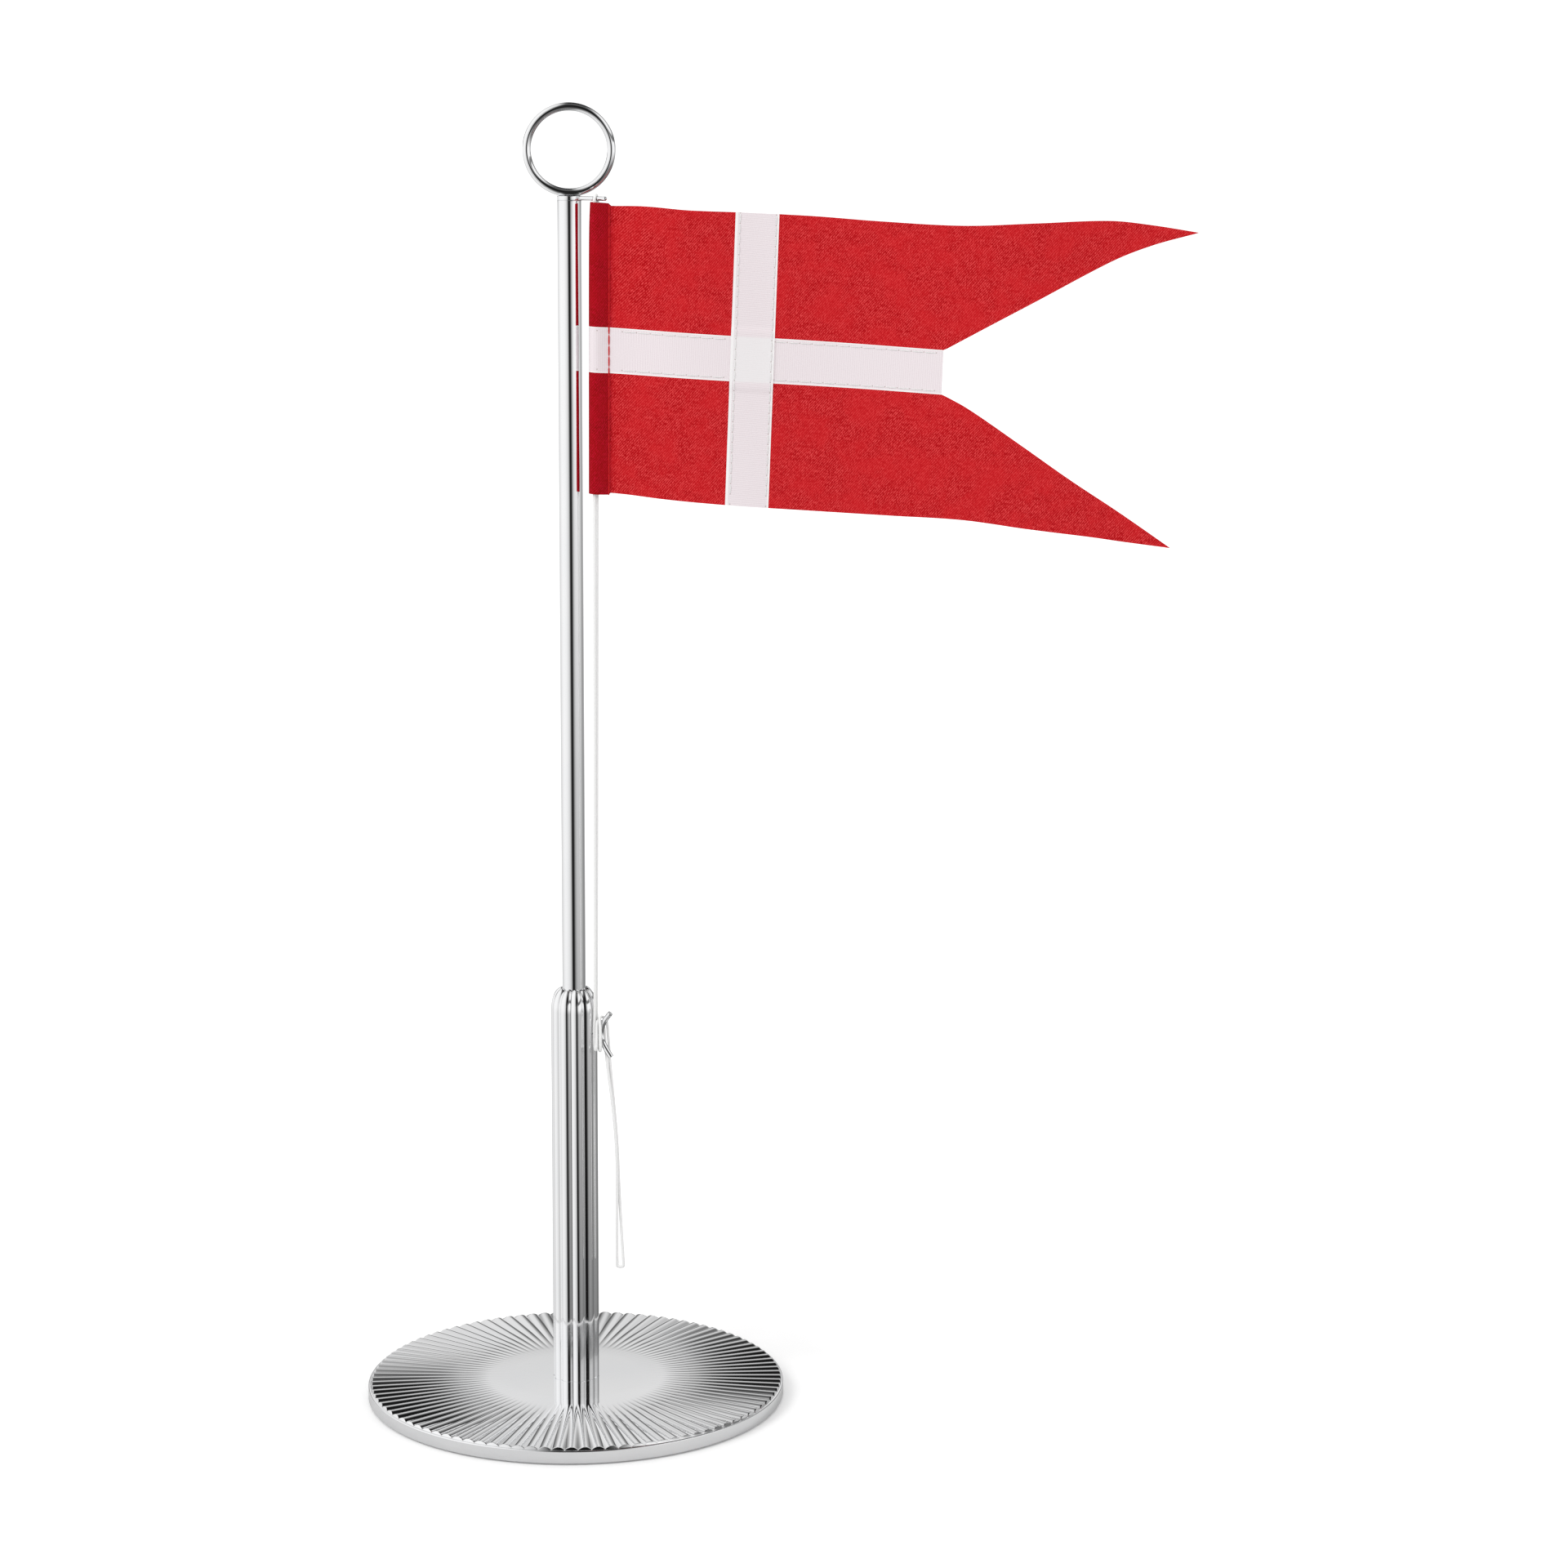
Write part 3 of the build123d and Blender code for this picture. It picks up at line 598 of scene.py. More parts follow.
def build_ring():
    """A round bar bent into a ring, with its lowest part flattened on the collar."""
    around, section = 288, 40
    middle = RING_OUTER - RING_SECTION
    points, faces = [], []
    for step in range(around):
        turn = 2.0 * math.pi * step / around
        for side in range(section):
            lift = 2.0 * math.pi * side / section
            reach = middle + RING_SECTION * math.cos(lift)
            height = max(RING_CENTRE + reach * math.sin(turn), COLLAR_TOP)
            points.append((reach * math.cos(turn), RING_SECTION * math.sin(lift), height))
            a, b = step * section + side, step * section + (side + 1) % section
            onward = (step + 1) % around * section
            faces.append((a, b, onward + (side + 1) % section, onward + side))
    return add_piece("ring_chrome", points, faces, CHROME, 30.0)


chrome_piece(build_ring(), "finial_ring")

# ---- Cleat and its post ----
CLEAT_RADIUS, POST_HEIGHT, POST_RADIUS = 0.85, 113.3, 0.5
CLEAT_HANDLES = [
    [(12.64, 120.4), (11.1, 118.6), (9.43, 116.6), (9.43, 113.9)],
    [(9.43, 113.9), (9.43, 111.5), (10.6, 109.6), (12.87, 106.9)],
]


def build_cleat():
    line = []
    for knots in CLEAT_HANDLES:
        corners = [beside_pole(out, 0.0, height) for out, height in knots]
        bend = [Vector(point) for point in interpolate_bezier(*corners, 24)]
        line += bend if not line else bend[1:]
    ends = (line[0] - line[1]).normalized(), (line[-1] - line[-2]).normalized()
    line = [line[0] + ends[0] * 0.02] + line + [line[-1] + ends[1] * 0.02]
    end_radii = [CLEAT_RADIUS - 0.2, CLEAT_RADIUS - 0.06]
    radii = end_radii + [CLEAT_RADIUS] * (len(line) - 4) + end_radii[::-1]
    points, faces = sweep(line, radii, 32, 0)
    return add_piece("cleat_chrome", points, faces, CHROME, 35.0)


chrome_piece(build_cleat(), "cleat_horns")
POST_OUTLINE = [(0.0, 5.2), (0.0, 6.35), (0.14, 6.6), (0.0, 6.95), (0.0, 8.2), (0.12, 8.5), (0.2, 8.9)]
post_rows = [(0.0, 5.2)] + [(POST_RADIUS + swell, out) for swell, out in POST_OUTLINE] + [(0.0, 8.9)]
chrome_piece(lathe("cleat_post_chrome", post_rows, 40, CHROME, along_outward(POST_HEIGHT)), "cleat_post")

# ---- Whipping: thread wound round the front strand inside the sleeve ----
SEIZING_LOW, SEIZING_LENGTH, SEIZING_RADIUS, SEIZING_THREAD = 333.5, 4.0, 0.62, 0.1
SEIZING_TURNS, SEIZING_STEPS = 19, 16


def build_seizing():
    middle = strand_place(-STRAND_SPREAD, SEIZING_LOW)
    side = HALYARD_UP.orthogonal().normalized()
    ahead = HALYARD_UP.cross(side)
    steps = SEIZING_TURNS * SEIZING_STEPS
    line = []
    for step in range(steps + 1):
        turn = 2.0 * math.pi * step / SEIZING_STEPS
        rise = SEIZING_THREAD + (SEIZING_LENGTH - 2.0 * SEIZING_THREAD) * step / steps
        out = side * math.cos(turn) + ahead * math.sin(turn)
        line.append(middle + HALYARD_UP * rise + out * SEIZING_RADIUS)
    points, faces = sweep(line, [SEIZING_THREAD] * len(line), 6, 0)
    return add_piece("whipping_thread", points, faces, RED_THREAD, 60.0)


finish_piece(build_seizing(), "hoist", "thread", "halyard_seizing")

# ---- Flag ----
CLOTH = 0.30
TAPE_THICKNESS = 0.36
HOIST = 83.8
BAR_LOW, BAR_HIGH = 35.6, 48.7
UPRIGHT_NEAR, UPRIGHT_FAR, NOTCH = 37.7, 50.3, 99.2
DROOP, LEAN = 0.062, 0.03
SEAM, SLEEVE, SLEEVE_STEPS = 3.8, 1.93, 18
HEM_END, HEM_OFF = 5.3, -0.44
TOP_NARROWING = 0.2  # the sleeve is this much narrower at its top
CLOTH_ROWS, GRID_STEP = 44, 0.9


def smooth_line(stops, value):
    """A smooth curve through (place, height) stops."""
    places = [stop[0] for stop in stops]
    heights = [stop[1] for stop in stops]
    if value <= places[0]:
        return heights[0]
    if value >= places[-1]:
        return heights[-1]
    index = max(i for i in range(len(places) - 1) if places[i] <= value)

    def slope(i):
        low, high = max(i - 1, 0), min(i + 1, len(places) - 1)
        return (heights[high] - heights[low]) / (places[high] - places[low])

    width = places[index + 1] - places[index]
    t = (value - places[index]) / width
    a, b = heights[index], heights[index + 1]
    return (
        (2 * t**3 - 3 * t**2 + 1) * a + (t**3 - 2 * t**2 + t) * width * slope(index)
        + (3 * t**2 - 2 * t**3) * b + (t**3 - t**2) * width * slope(index + 1)
    )


WAVE_LINE = [
    (0.0, 0.0), (4.0, 0.0), (12.0, 0.5), (24.0, 1.9), (36.0, 1.5), (52.0, -0.9),
    (68.0, -1.9), (84.0, -1.4), (104.0, 0.9), (126.0, 2.6), (150.0, 2.2), (172.0, 3.8),
]


def wave(along, up):
    """How far the cloth stands towards the viewer of its front."""
    middle = up - HOIST / 2.0
    shift = along + 0.18 * middle + 2.0 * math.sin(up / 17.0)
    ripple = 0.35 * math.sin(along / 9.0 + up / 13.0) * min(1.0, max(0.0, (along - 8.0) / 25.0))
    spread = min(1.0, max(0.0, (along - 4.0) / 8.0))
    return (smooth_line(WAVE_LINE, shift) + ripple) * spread


def on_flag(along, up, off):
    """A point of the flat cut, off millimetres in front of the cloth's plane."""
    return FOOT + FLY * (along + LEAN * up) + HALYARD_UP * (up - DROOP * along) + TOWARD * off


# The cut's outline: (along, up)
SLEEVE_TOP, SLEEVE_FOOT = 84.0, 0.1
TOP_EDGE = [
    (4.0, 83.3), (12.0, 83.9), (24.0, 83.7), (38.7, 84.1), (60.0, 84.5), (80.0, 84.4),
    (103.4, 84.9), (124.0, 87.1), (145.5, 89.3), (158.0, 88.9), (170.8, 87.8),
]
BOTTOM_EDGE = [
    (4.0, 0.7), (10.0, 0.5), (19.1, 0.0), (34.0, -0.3), (49.6, -0.5), (85.9, -0.4),
    (107.4, 0.0), (125.0, -1.0), (143.3, -2.0), (155.0, -2.9), (167.8, -3.6),
]
UPPER_NOTCH = [(NOTCH, 48.8), (122.0, 62.9), (146.2, 77.7), (158.0, 83.3), (170.8, 87.8)]
LOWER_NOTCH = [(NOTCH, 36.2), (107.0, 32.6), (122.0, 23.7), (137.7, 14.1), (152.0, 5.9), (167.8, -3.6)]


def cloth_solid(name, grid, cuts, material, thickness):
    """A sheet of cloth from a grid of middle points: both faces and its edges."""
    rows, columns = len(grid), len(grid[0])
    array = np.array([[tuple(point) for point in row] for row in grid])
    du = np.gradient(array, axis=1)
    dv = np.gradient(array, axis=0)
    normals = np.cross(du, dv)
    lengths = np.linalg.norm(normals, axis=2, keepdims=True)
    flat = lengths[..., 0] < 1e-9
    normals = normals / np.maximum(lengths, 1e-9)
    normals[flat] = tuple(TOWARD)
    front = array + normals * thickness / 2.0
    back = array - normals * thickness / 2.0
    points = list(front.reshape(-1, 3)) + list(back.reshape(-1, 3))
    count = rows * columns
    faces = []
    for row in range(rows - 1):
        for column in range(columns - 1):
            a = row * columns + column
            quad = (a, a + 1, a + columns + 1, a + columns)
            faces.append(quad)
            faces.append(tuple(count + corner for corner in reversed(quad)))
    border = [(0, c) for c in range(columns)] + [(r, columns - 1) for r in range(1, rows)]
    border += [(rows - 1, c) for c in range(columns - 2, -1, -1)] + [(r, 0) for r in range(rows - 2, 0, -1)]
    for (r0, c0), (r1, c1) in zip(border, border[1:] + border[:1]):
        a, b = r0 * columns + c0, r1 * columns + c1
        faces.append((b, a, count + a, count + b))
    piece = add_piece(name, points, faces, material, 50.0)
    attribute = piece.data.attributes.new("cut", "FLOAT_VECTOR", "POINT")
    values = np.array([tuple(cut) for row in cuts for cut in row], np.float32)
    attribute.data.foreach_set("vector", np.concatenate([values, values]).ravel())
    return piece


def stations(start, end, spacing):
    count = max(2, int(math.ceil((end - start) / spacing)) + 1)
    return [start + (end - start) * index / (count - 1) for index in range(count)]


def sleeve_path():
    """The hoist edge's section, (along, off): from the hem's end on the back, round the halyard, to
    the seam on the front."""
    reach = math.acos(SLEEVE / SEAM)
    path = [(HEM_END, HEM_OFF), (HEM_END - 0.9, HEM_OFF)]
    touch = (SLEEVE * math.cos(reach), SLEEVE * math.sin(reach))
    path += [(SEAM - 0.2, -0.42), (SEAM * 0.75 + touch[0] * 0.25, -0.30 - touch[1] * 0.25)]
    path += [(SEAM * 0.4 + touch[0] * 0.6, -touch[1] * 0.66), (touch[0] + 0.1, -touch[1] * 0.97)]
    for step in range(1, SLEEVE_STEPS):
        turn = -reach - (2.0 * math.pi - 2.0 * reach) * step / SLEEVE_STEPS
        path.append((SLEEVE * math.cos(turn), SLEEVE * math.sin(turn)))
    path += [(touch[0] + 0.1, touch[1] * 0.97), (SEAM * 0.4 + touch[0] * 0.6, touch[1] * 0.66)]
    path += [(SEAM * 0.75 + touch[0] * 0.25, touch[1] * 0.25 + 0.06), (SEAM - 0.1, 0.03)]
    return path


def panel_point(along, up, off=0.0):
    """A point of the cloth past the seam. Close to the sleeve it runs parallel to the halyard."""
    straight = LEAN * up * max(0.0, 1.0 - (along - SEAM) / 10.0)
    return on_flag(along - straight, up, wave(along, up) + off)


def hoist_grid(low_line, high_line, rows, end, mark):
    """Points and cut coordinates of a strip that starts with the sleeve and runs to end."""
    path = sleeve_path()
    panel = stations(SEAM + 0.3, end, GRID_STEP)
    distances = [0.0]
    for (a, b), (c, d) in zip(path, path[1:]):
        distances.append(distances[-1] + math.hypot(c - a, d - b))
    grid, cuts = [], []
    for row in range(rows + 1):
        share = row / rows
        points, marks = [], []
        for (along, off), distance in zip(path, distances):
            line_at = along if along > SEAM else 0.0
            up = low_line(line_at) + (high_line(line_at) - low_line(line_at)) * share
            bulge = 1.0
            if abs(off) > 0.5:
                bulge += 0.05 * math.sin(up / 7.0 + 1.0) + 0.03 * math.sin(up / 3.1)
            narrowed = along * (1.0 - TOP_NARROWING * math.exp((up - HOIST) / 6.0)) if along < 0.0 else along
            points.append(on_flag(narrowed - LEAN * up, up, off * bulge))
            marks.append(mark(SEAM - (distances[-1] - distance), up, share, 1.0))
        for along in panel:
            up = low_line(along) + (high_line(along) - low_line(along)) * share
            points.append(panel_point(along, up))
            marks.append(mark(along, up, share, max(0.0, 1.0 - (along - SEAM) / 1.5)))
        grid.append(points)
        cuts.append(marks)
    return grid, cuts


def plain_grid(places, low_line, high_line, rows, mark, lift=None):
    """Points and cut coordinates of a panel, as in hoist_grid but with no sleeve."""
    grid, cuts = [], []
    for row in range(rows + 1):
        share = row / rows
        points, marks = [], []
        for along in places:
            up = low_line(along) + (high_line(along) - low_line(along)) * share
            points.append(on_flag(along, up, wave(along, up) + (lift(up) if lift else 0.0)))
            marks.append(mark(along, up, share, 0.0))
        grid.append(points)
        cuts.append(marks)
    return grid, cuts


def red_mark(along, up, share, folded):
    return along, up, folded


def bar_mark(along, up, share, folded):
    return along, share * BAR_WIDTH, 0.0


def upright_mark(along, up, share, folded):
    return up, along - UPRIGHT_NEAR, 1.0 if BAR_LOW < up < BAR_HIGH else 0.0


def top_line(along):
    return SLEEVE_TOP if along <= 0.0 else smooth_line(TOP_EDGE, along)


def bottom_line(along):
    return SLEEVE_FOOT if along <= 0.0 else smooth_line(BOTTOM_EDGE, along)


def bar_low_line(along):
    return 35.4 + 0.7 * max(0.0, along) / NOTCH


def bar_high_line(along):
    return 48.55 + 0.4 * max(0.0, along) / NOTCH


TUCK, LAP = 0.8, 0.05  # how far the cloths go under the upright and the bar
HOIST_END = UPRIGHT_NEAR + TUCK
grid, cuts = hoist_grid(lambda along: bar_high_line(along) - LAP, top_line, CLOTH_ROWS, HOIST_END, red_mark)
upper_hoist = cloth_solid("flag_upper_hoist", grid, cuts, RED, CLOTH)
grid, cuts = hoist_grid(bottom_line, lambda along: bar_low_line(along) + LAP, CLOTH_ROWS, HOIST_END, red_mark)
lower_hoist = cloth_solid("flag_lower_hoist", grid, cuts, RED, CLOTH)
grid, cuts = hoist_grid(bar_low_line, bar_high_line, 26, NOTCH, bar_mark)
cross_bar = cloth_solid("flag_cross_bar", grid, cuts, BAR_TAPE, TAPE_THICKNESS)

FLY_START, UPPER_TIP, LOWER_TIP = UPRIGHT_FAR - TUCK, 170.6, 167.6


def fly_places(tip):
    return stations(FLY_START, NOTCH, GRID_STEP) + stations(NOTCH, tip, GRID_STEP)[1:]


def upper_fly_line(along):
    return bar_high_line(along) if along <= NOTCH else smooth_line(UPPER_NOTCH, along)


def lower_fly_line(along):
    return bar_low_line(along) if along <= NOTCH else smooth_line(LOWER_NOTCH, along)


grid, cuts = plain_grid(fly_places(UPPER_TIP), upper_fly_line, top_line, CLOTH_ROWS, red_mark)
upper_fly = cloth_solid("flag_upper_fly", grid, cuts, RED, CLOTH)
grid, cuts = plain_grid(fly_places(LOWER_TIP), bottom_line, lower_fly_line, CLOTH_ROWS, red_mark)
lower_fly = cloth_solid("flag_lower_fly", grid, cuts, RED, CLOTH)

BRIDGE_LOW, BRIDGE_HIGH, BRIDGE_LIFT, BRIDGE_RAMP = 34.1, 50.2, 0.38, 1.6


def bridge(up):
    """How far the upright tape rises to step over the bar."""
    rise = min(1.0, max(0.0, (up - BRIDGE_LOW + BRIDGE_RAMP) / BRIDGE_RAMP))
    fall = min(1.0, max(0.0, (BRIDGE_HIGH + BRIDGE_RAMP - up) / BRIDGE_RAMP))
    share = min(rise, fall)
    return BRIDGE_LIFT * share * share * (3.0 - 2.0 * share)


upright_places = stations(UPRIGHT_NEAR, UPRIGHT_FAR, 0.6)
grid, cuts = plain_grid(upright_places, bottom_line, top_line, 130, upright_mark, bridge)
cross_upright = cloth_solid("flag_cross_upright", grid, cuts, UPRIGHT_TAPE, TAPE_THICKNESS)

# ---- Stitches: each one a short thread that goes into the cloth at both ends ----
SLEEVE_PITCH, SLEEVE_THREAD, SLEEVE_GAP, TAPE_THREAD, TAPE_GAP = 3.1, 0.21, 0.0, 0.15, 0.4
SUNK = 0.02
STITCH_STEPS = 8
FACES = ((TOWARD, 1.0), (-TOWARD, -1.0))


def stitch_row(place, out_of_cloth, start, end, pitch, gap, thickness, skip=None):
    """The stitches of one row, between start and end, as (line, radii)."""
    stitches = []
    for index in range(int(math.ceil(start / pitch)), int(math.floor(end / pitch))):
        first, last = index * pitch + gap / 2.0, (index + 1) * pitch - gap / 2.0
        if skip and skip(first, last):
            continue
        line, radii = [], []
        for step in range(STITCH_STEPS + 1):
            share = step / STITCH_STEPS
            crown = math.sin(math.pi * share) ** 0.3 if 0.0 < share < 1.0 else 0.0
            line.append(place(first + (last - first) * share) + out_of_cloth * thickness * (crown - 0.5))
            radii.append(thickness * (0.5 + 0.5 * crown))
        stitches.append((line, radii))
    return stitches


def thread_piece(name, stitches, material):
    points, faces = [], []
    for line, radii in stitches:
        made, more = sweep(line, radii, 8, len(points))
        points += made
        faces += more
    return add_piece(name, points, faces, material, 60.0)


def on_bar(up):
    return bar_low_line(0.0) < up < bar_high_line(0.0)


def sleeve_stitches():
    stitches = []
    for out_of_cloth, face in FACES:
        def place(up, face=face):
            """A point of the seam, on the sleeve's front or on the hem at its back."""
            half = (TAPE_THICKNESS if on_bar(up) else CLOTH) / 2.0
            off = SUNK + half if face > 0 else HEM_OFF + SUNK - half
            return on_flag(SEAM - LEAN * up, up, off)

        stitches += stitch_row(place, out_of_cloth, 0.0, HOIST, SLEEVE_PITCH, SLEEVE_GAP, SLEEVE_THREAD)
    return thread_piece("sleeve_stitches", stitches, RED_THREAD)


def tape_stitches():
    stitches = []
    half = TAPE_THICKNESS / 2.0
    for out_of_cloth, face in FACES:
        for row in BAR_ROWS:
            def place(along, row=row, face=face):
                up = bar_low_line(along) + (bar_high_line(along) - bar_low_line(along)) * row / BAR_WIDTH
                return panel_point(along, up, face * half)

            def crosses_upright(first, last, face=face):
                return face > 0 and last > UPRIGHT_NEAR - 0.3 and first < UPRIGHT_FAR + 0.3

            stitches += stitch_row(
                place, out_of_cloth, 5.6, NOTCH - 0.3, BAR_PITCH, TAPE_GAP, TAPE_THREAD, crosses_upright
            )
        for row in UPRIGHT_ROWS:
            def place(up, row=row, face=face):
                along = UPRIGHT_NEAR + row
                rise = bridge(up) if face > 0 or not on_bar(up) else 0.0
                return on_flag(along, up, wave(along, up) + rise + face * half)

            def crosses_step(first, last, face=face):
                low_step = last > BRIDGE_LOW - BRIDGE_RAMP and first < BAR_LOW + 0.3
                high_step = last > BAR_HIGH - 0.3 and first < BRIDGE_HIGH + BRIDGE_RAMP
                return face < 0 and (low_step or high_step)

            stitches += stitch_row(
                place, out_of_cloth, 0.2, HOIST + 0.2, UPRIGHT_PITCH, TAPE_GAP, TAPE_THREAD, crosses_step
            )
    return thread_piece("tape_stitches", stitches, WHITE_THREAD)


sleeve_threads = finish_piece(sleeve_stitches(), "flag", "thread", "sleeve_stitching")
tape_threads = finish_piece(tape_stitches(), "flag", "tape_thread", "band_stitching")

# ---- Each cloth joins the flag body in place of its CAD piece; the fly cloths' flat-cut areas, in square metres, are worked out but not used ----
sleeve_line = sleeve_path()


def cut_area(places, low_line, high_line):
    """Square metres between two lines of the flat cut."""
    strips = zip(places, places[1:])
    return sum((b - a) * (high_line((a + b) / 2.0) - low_line((a + b) / 2.0)) for a, b in strips) * MM * MM


def declare(piece, cad_name, slot, area=None):
    finish_piece(piece, "flag", slot, cad_name)


upper_cut, lower_cut = top_line(0.0) - bar_high_line(0.0), bar_low_line(0.0) - bottom_line(0.0)
declare(
    upper_hoist, "upper_hoist_cloth", "red_cloth"
)
declare(lower_hoist, "lower_hoist_cloth", "red_cloth")
declare(cross_bar, "cross_bar", "white_tape")
declare(
    cross_upright, "cross_upright", "white_tape",
)
declare(
    upper_fly, "upper_fly_cloth", "red_cloth",
    cut_area(fly_places(UPPER_TIP), upper_fly_line, top_line),
)
declare(
    lower_fly, "lower_fly_cloth", "red_cloth",
    cut_area(fly_places(LOWER_TIP), bottom_line, lower_fly_line),
)

# ---- World, floor and lights ----
def by_degrees(stops):
    """Ramp stops from degrees, -180 to 180, to the ramp's 0 to 1."""
    return [((degrees + 180.0) / 360.0, value) for degrees, value in stops]


# What the polished metal mirrors: white screens on both sides, a dark gap behind the camera that
# goes on overhead, and a pale wall behind the object. Each stop is (degrees, grey). ROUND_HIGH and
# ROUND_LOW go round from the camera's side, at eye level and below it, and OVERHEAD goes over the top.
ROUND_HIGH = [
    (-180, 0.90), (-150, 0.79), (-130, 0.78), (-110, 0.92), (-90, 1.00), (-50, 0.97), (-35, 0.85),
    (-25, 0.76), (-19, 0.62), (-14, 0.38), (-9, 0.10), (-5, 0.03), (0, 0.004), (5, 0.012), (9, 0.05),
    (14, 0.20), (19, 0.43), (25, 0.68), (35, 0.90), (50, 1.00), (90, 0.92), (110, 0.54), (130, 0.36),
    (150, 0.63), (165, 0.86), (180, 0.90),
]
ROUND_LOW = [
    (-180, 0.80), (-150, 0.76), (-130, 0.62), (-110, 0.76), (-90, 0.87), (-70, 0.90), (-50, 0.80),
    (-35, 0.70), (-25, 0.56), (-19, 0.46), (-14, 0.27), (-9, 0.08), (-5, 0.02), (0, 0.002), (14, 0.01),
    (19, 0.04), (25, 0.08), (35, 0.15), (50, 0.20), (70, 0.17), (90, 0.15), (110, 0.11), (130, 0.12),
    (150, 0.30), (165, 0.50), (180, 0.80),
]
OVERHEAD = [
    (-180, 0.85), (-160, 0.60), (-90, 0.15), (-64, 0.16), (-38, 0.16), (-20, 0.05), (-10, 0.003),
    (0, 0.003), (9, 0.008), (33, 0.015), (59, 0.12), (90, 0.05), (110, 0.008), (126, 0.008), (134, 0.08),
    (142, 0.36), (150, 0.60), (158, 0.75), (168, 0.78), (180, 0.85),
]
# The rest are by one coordinate of the direction, as a share from 0 to 1.
LEFT_TO_RIGHT = [
    (0.225, 1.0), (0.36, 0.85), (0.44, 0.10), (0.475, 0.0), (0.65, 0.0), (0.71, 0.25), (0.81, 1.0),
]
LOW_TO_HIGH = [(0.328, 0.0), (0.475, 1.0)]
NEAR_LEVEL = [(0.23, 0.0), (0.33, 1.0), (0.55, 1.0), (0.66, 0.0)]
BACK_BAND = [(0.505, 0.0), (0.525, 0.94), (0.58, 0.88), (0.635, 0.5), (0.668, 0.0)]
RIGHT_BAND = [(0.572, 0.0), (0.595, 1.0), (0.64, 1.0), (0.69, 0.0)]
SKY_SEEN, SKY_FOR_CLOTH = 1.2, 0.80


def studio_world():
    world = bpy.data.worlds.new("studio")
    scene.world = world
    world.use_nodes = True
    tree = world.node_tree
    tree.nodes.clear()
    split = tree.nodes.new("ShaderNodeSeparateXYZ")
    tree.links.new(tree.nodes.new("ShaderNodeTexCoord").outputs["Generated"], split.inputs[0])
    x, y, z = split.outputs
    ahead = times(tree, y, -1.0)

    def turns(first, second):
        angle = math_node(tree, "DIVIDE", math_node(tree, "ARCTAN2", first, second), 2.0 * math.pi)
        return plus(tree, angle, 0.5)

    def as_share(value):
        return plus(tree, times(tree, value, 0.5), 0.5)

    round_high = ramp(tree, turns(x, ahead), by_degrees(ROUND_HIGH))
    round_low = ramp(tree, turns(x, ahead), by_degrees(ROUND_LOW))
    around = mix_colour(tree, ramp(tree, as_share(z), LOW_TO_HIGH), round_low, round_high)
    overhead = ramp(tree, turns(z, ahead), by_degrees(OVERHEAD))
    beside = ramp(tree, as_share(x), LEFT_TO_RIGHT)
    near_level = ramp(tree, as_share(z), NEAR_LEVEL)
    screens = mix_colour(tree, math_node(tree, "MAXIMUM", beside, near_level), overhead, around)
    at_back = ramp(tree, as_share(y), [(0.75, 0.0), (0.9, 1.0)])
    back_band = times(tree, at_back, ramp(tree, as_share(z), BACK_BAND))
    shaded = mix_colour(tree, back_band, screens, (0.05, 0.05, 0.05))
    at_right = ramp(tree, as_share(x), [(0.62, 0.0), (0.78, 0.85)])
    right_band = times(tree, at_right, ramp(tree, as_share(z), RIGHT_BAND))
    mirrored = mix_colour(tree, right_band, shaded, (0.06, 0.06, 0.06))

    def background(strength, colour=None):
        made = node(tree, "ShaderNodeBackground", Strength=strength)
        made.inputs["Color"].default_value = (1.0, 1.0, 1.0, 1.0)
        if colour is not None:
            tree.links.new(colour, made.inputs["Color"])
        return made.outputs[0]

    def choose(share, first, second):
        made = tree.nodes.new("ShaderNodeMixShader")
        for socket, source in zip(made.inputs, (share, first, second)):
            tree.links.new(source, socket)
        return made.outputs[0]

    ray = tree.nodes.new("ShaderNodeLightPath")
    for_cloth = choose(ray.outputs["Is Diffuse Ray"], background(1.0, mirrored), background(SKY_FOR_CLOTH))
    sky = choose(ray.outputs["Is Camera Ray"], for_cloth, background(SKY_SEEN))
    output = tree.nodes.new("ShaderNodeOutputWorld")
    tree.links.new(sky, output.inputs["Surface"])


studio_world()


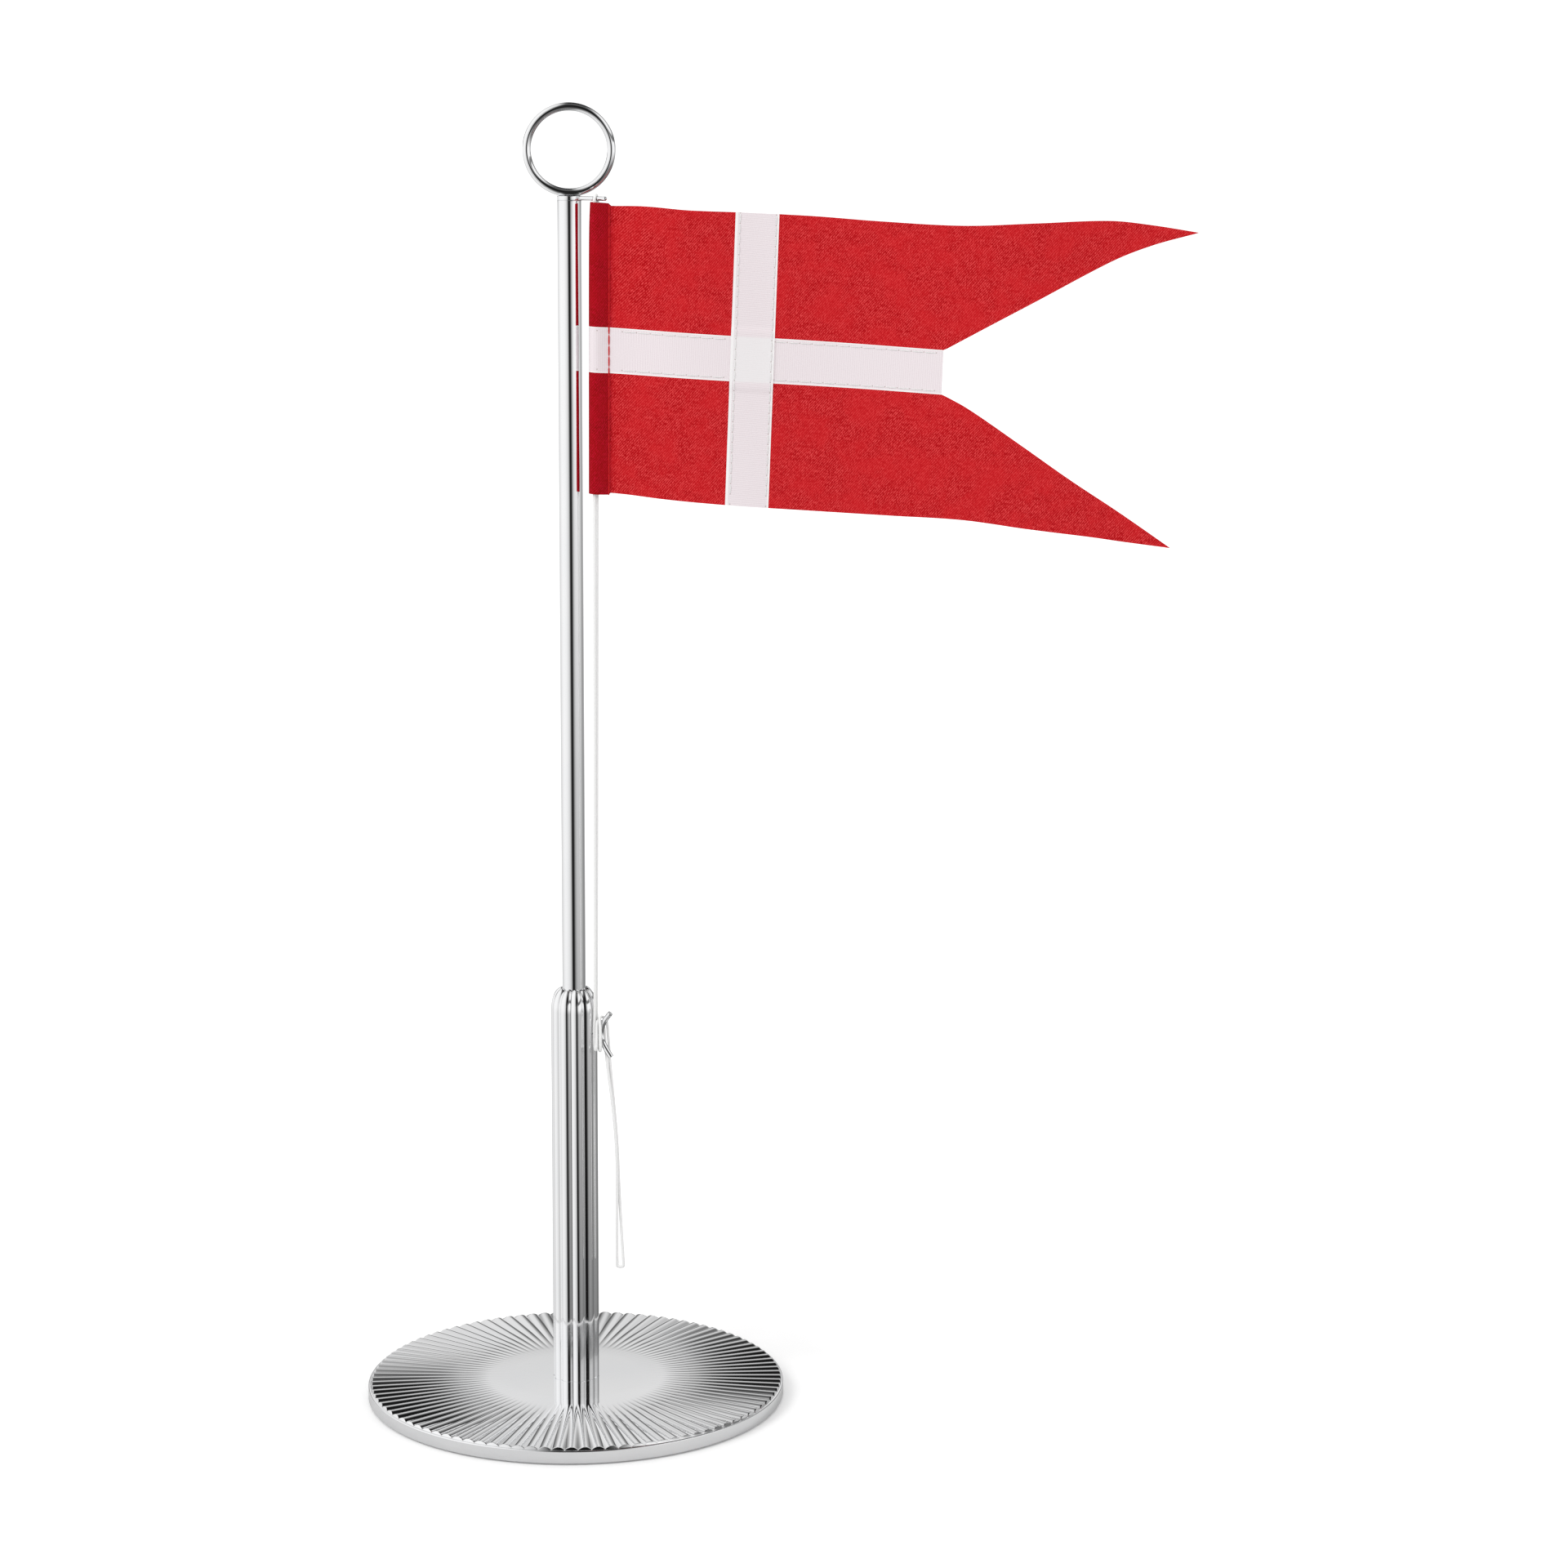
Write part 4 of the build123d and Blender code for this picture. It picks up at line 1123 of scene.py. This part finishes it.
def pale_floor(name, shade, glow):
    """Pale paper that glows a little: glow is its strength close to the base and far from it."""
    material, tree, shader = new_material(name, Roughness=0.9, Emission_Color=(1.0, 1.0, 1.0, 1.0))
    coordinates = object_coordinates(tree)
    paper = noise(tree, coordinates, 60.0)
    vary(tree, shader, "Base Color", paper, [(0.3, shade - 0.01), (0.7, shade + 0.01)])
    reach = node(tree, "ShaderNodeVectorMath", operation="LENGTH")
    tree.links.new(coordinates, reach.inputs[0])
    vary(tree, shader, "Emission Strength", reach.outputs["Value"], [(0.085, glow[0]), (0.26, glow[1])])
    return material


def floor_disc(name, radius, height, shade, glow):
    corners = []
    for degrees in range(0, 360, 3):
        turn = math.radians(degrees)
        corners.append((radius * math.cos(turn), radius * math.sin(turn), height))
    mesh = bpy.data.meshes.new(name)
    mesh.from_pydata(corners, [], [tuple(range(len(corners)))])
    mesh.materials.append(pale_floor(name, shade, glow))
    disc = bpy.data.objects.new(name, mesh)
    scene.collection.objects.link(disc)
    return disc


# The metal mirrors only the floor close round the base, which is a disc of its own.
# Its grey is darker than the floor the camera sees, 0.66 against 0.95: painted shade on the mirrored floor.
mirrored_floor = floor_disc("floor_in_mirrors", 0.079, 0.0, 0.66, (0.0, 0.0))
mirrored_floor.visible_camera = mirrored_floor.visible_diffuse = mirrored_floor.visible_shadow = False
floor = floor_disc("floor", 5.0, -0.0002, 0.95, (0.12, 0.50))
floor.visible_glossy = floor.visible_diffuse = False


def area_light(name, place, width, height, power):
    """A soft light that looks at the middle of the object and doesn't show in the metal."""
    lamp = bpy.data.lights.new(name, "AREA")
    lamp.shape = "RECTANGLE"
    lamp.size, lamp.size_y = width, height
    lamp.energy = power
    made = bpy.data.objects.new(name, lamp)
    made.location = place
    made.rotation_euler = (LIT_PLACE - Vector(place)).to_track_quat("-Z", "Y").to_euler()
    made.visible_glossy = False
    scene.collection.objects.link(made)


LIT_PLACE = Vector((0.05, 0.0, 0.2))
area_light("key_left", (-1.1, -0.9, 1.2), 0.8, 0.8, 11.0)
area_light("fill_right", (1.4, -0.9, 0.8), 1.0, 1.0, 3.0)

scene.view_settings.view_transform = "Standard"
scene.view_settings.look = "None"

# ---- CAD nodes that stay ----
for kept in ("stem_screw", "pole_stud", "finial_stud"):
    kept_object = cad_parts[kept]
    kept_object.data.materials.clear()
    kept_object.data.materials.append(STEEL)
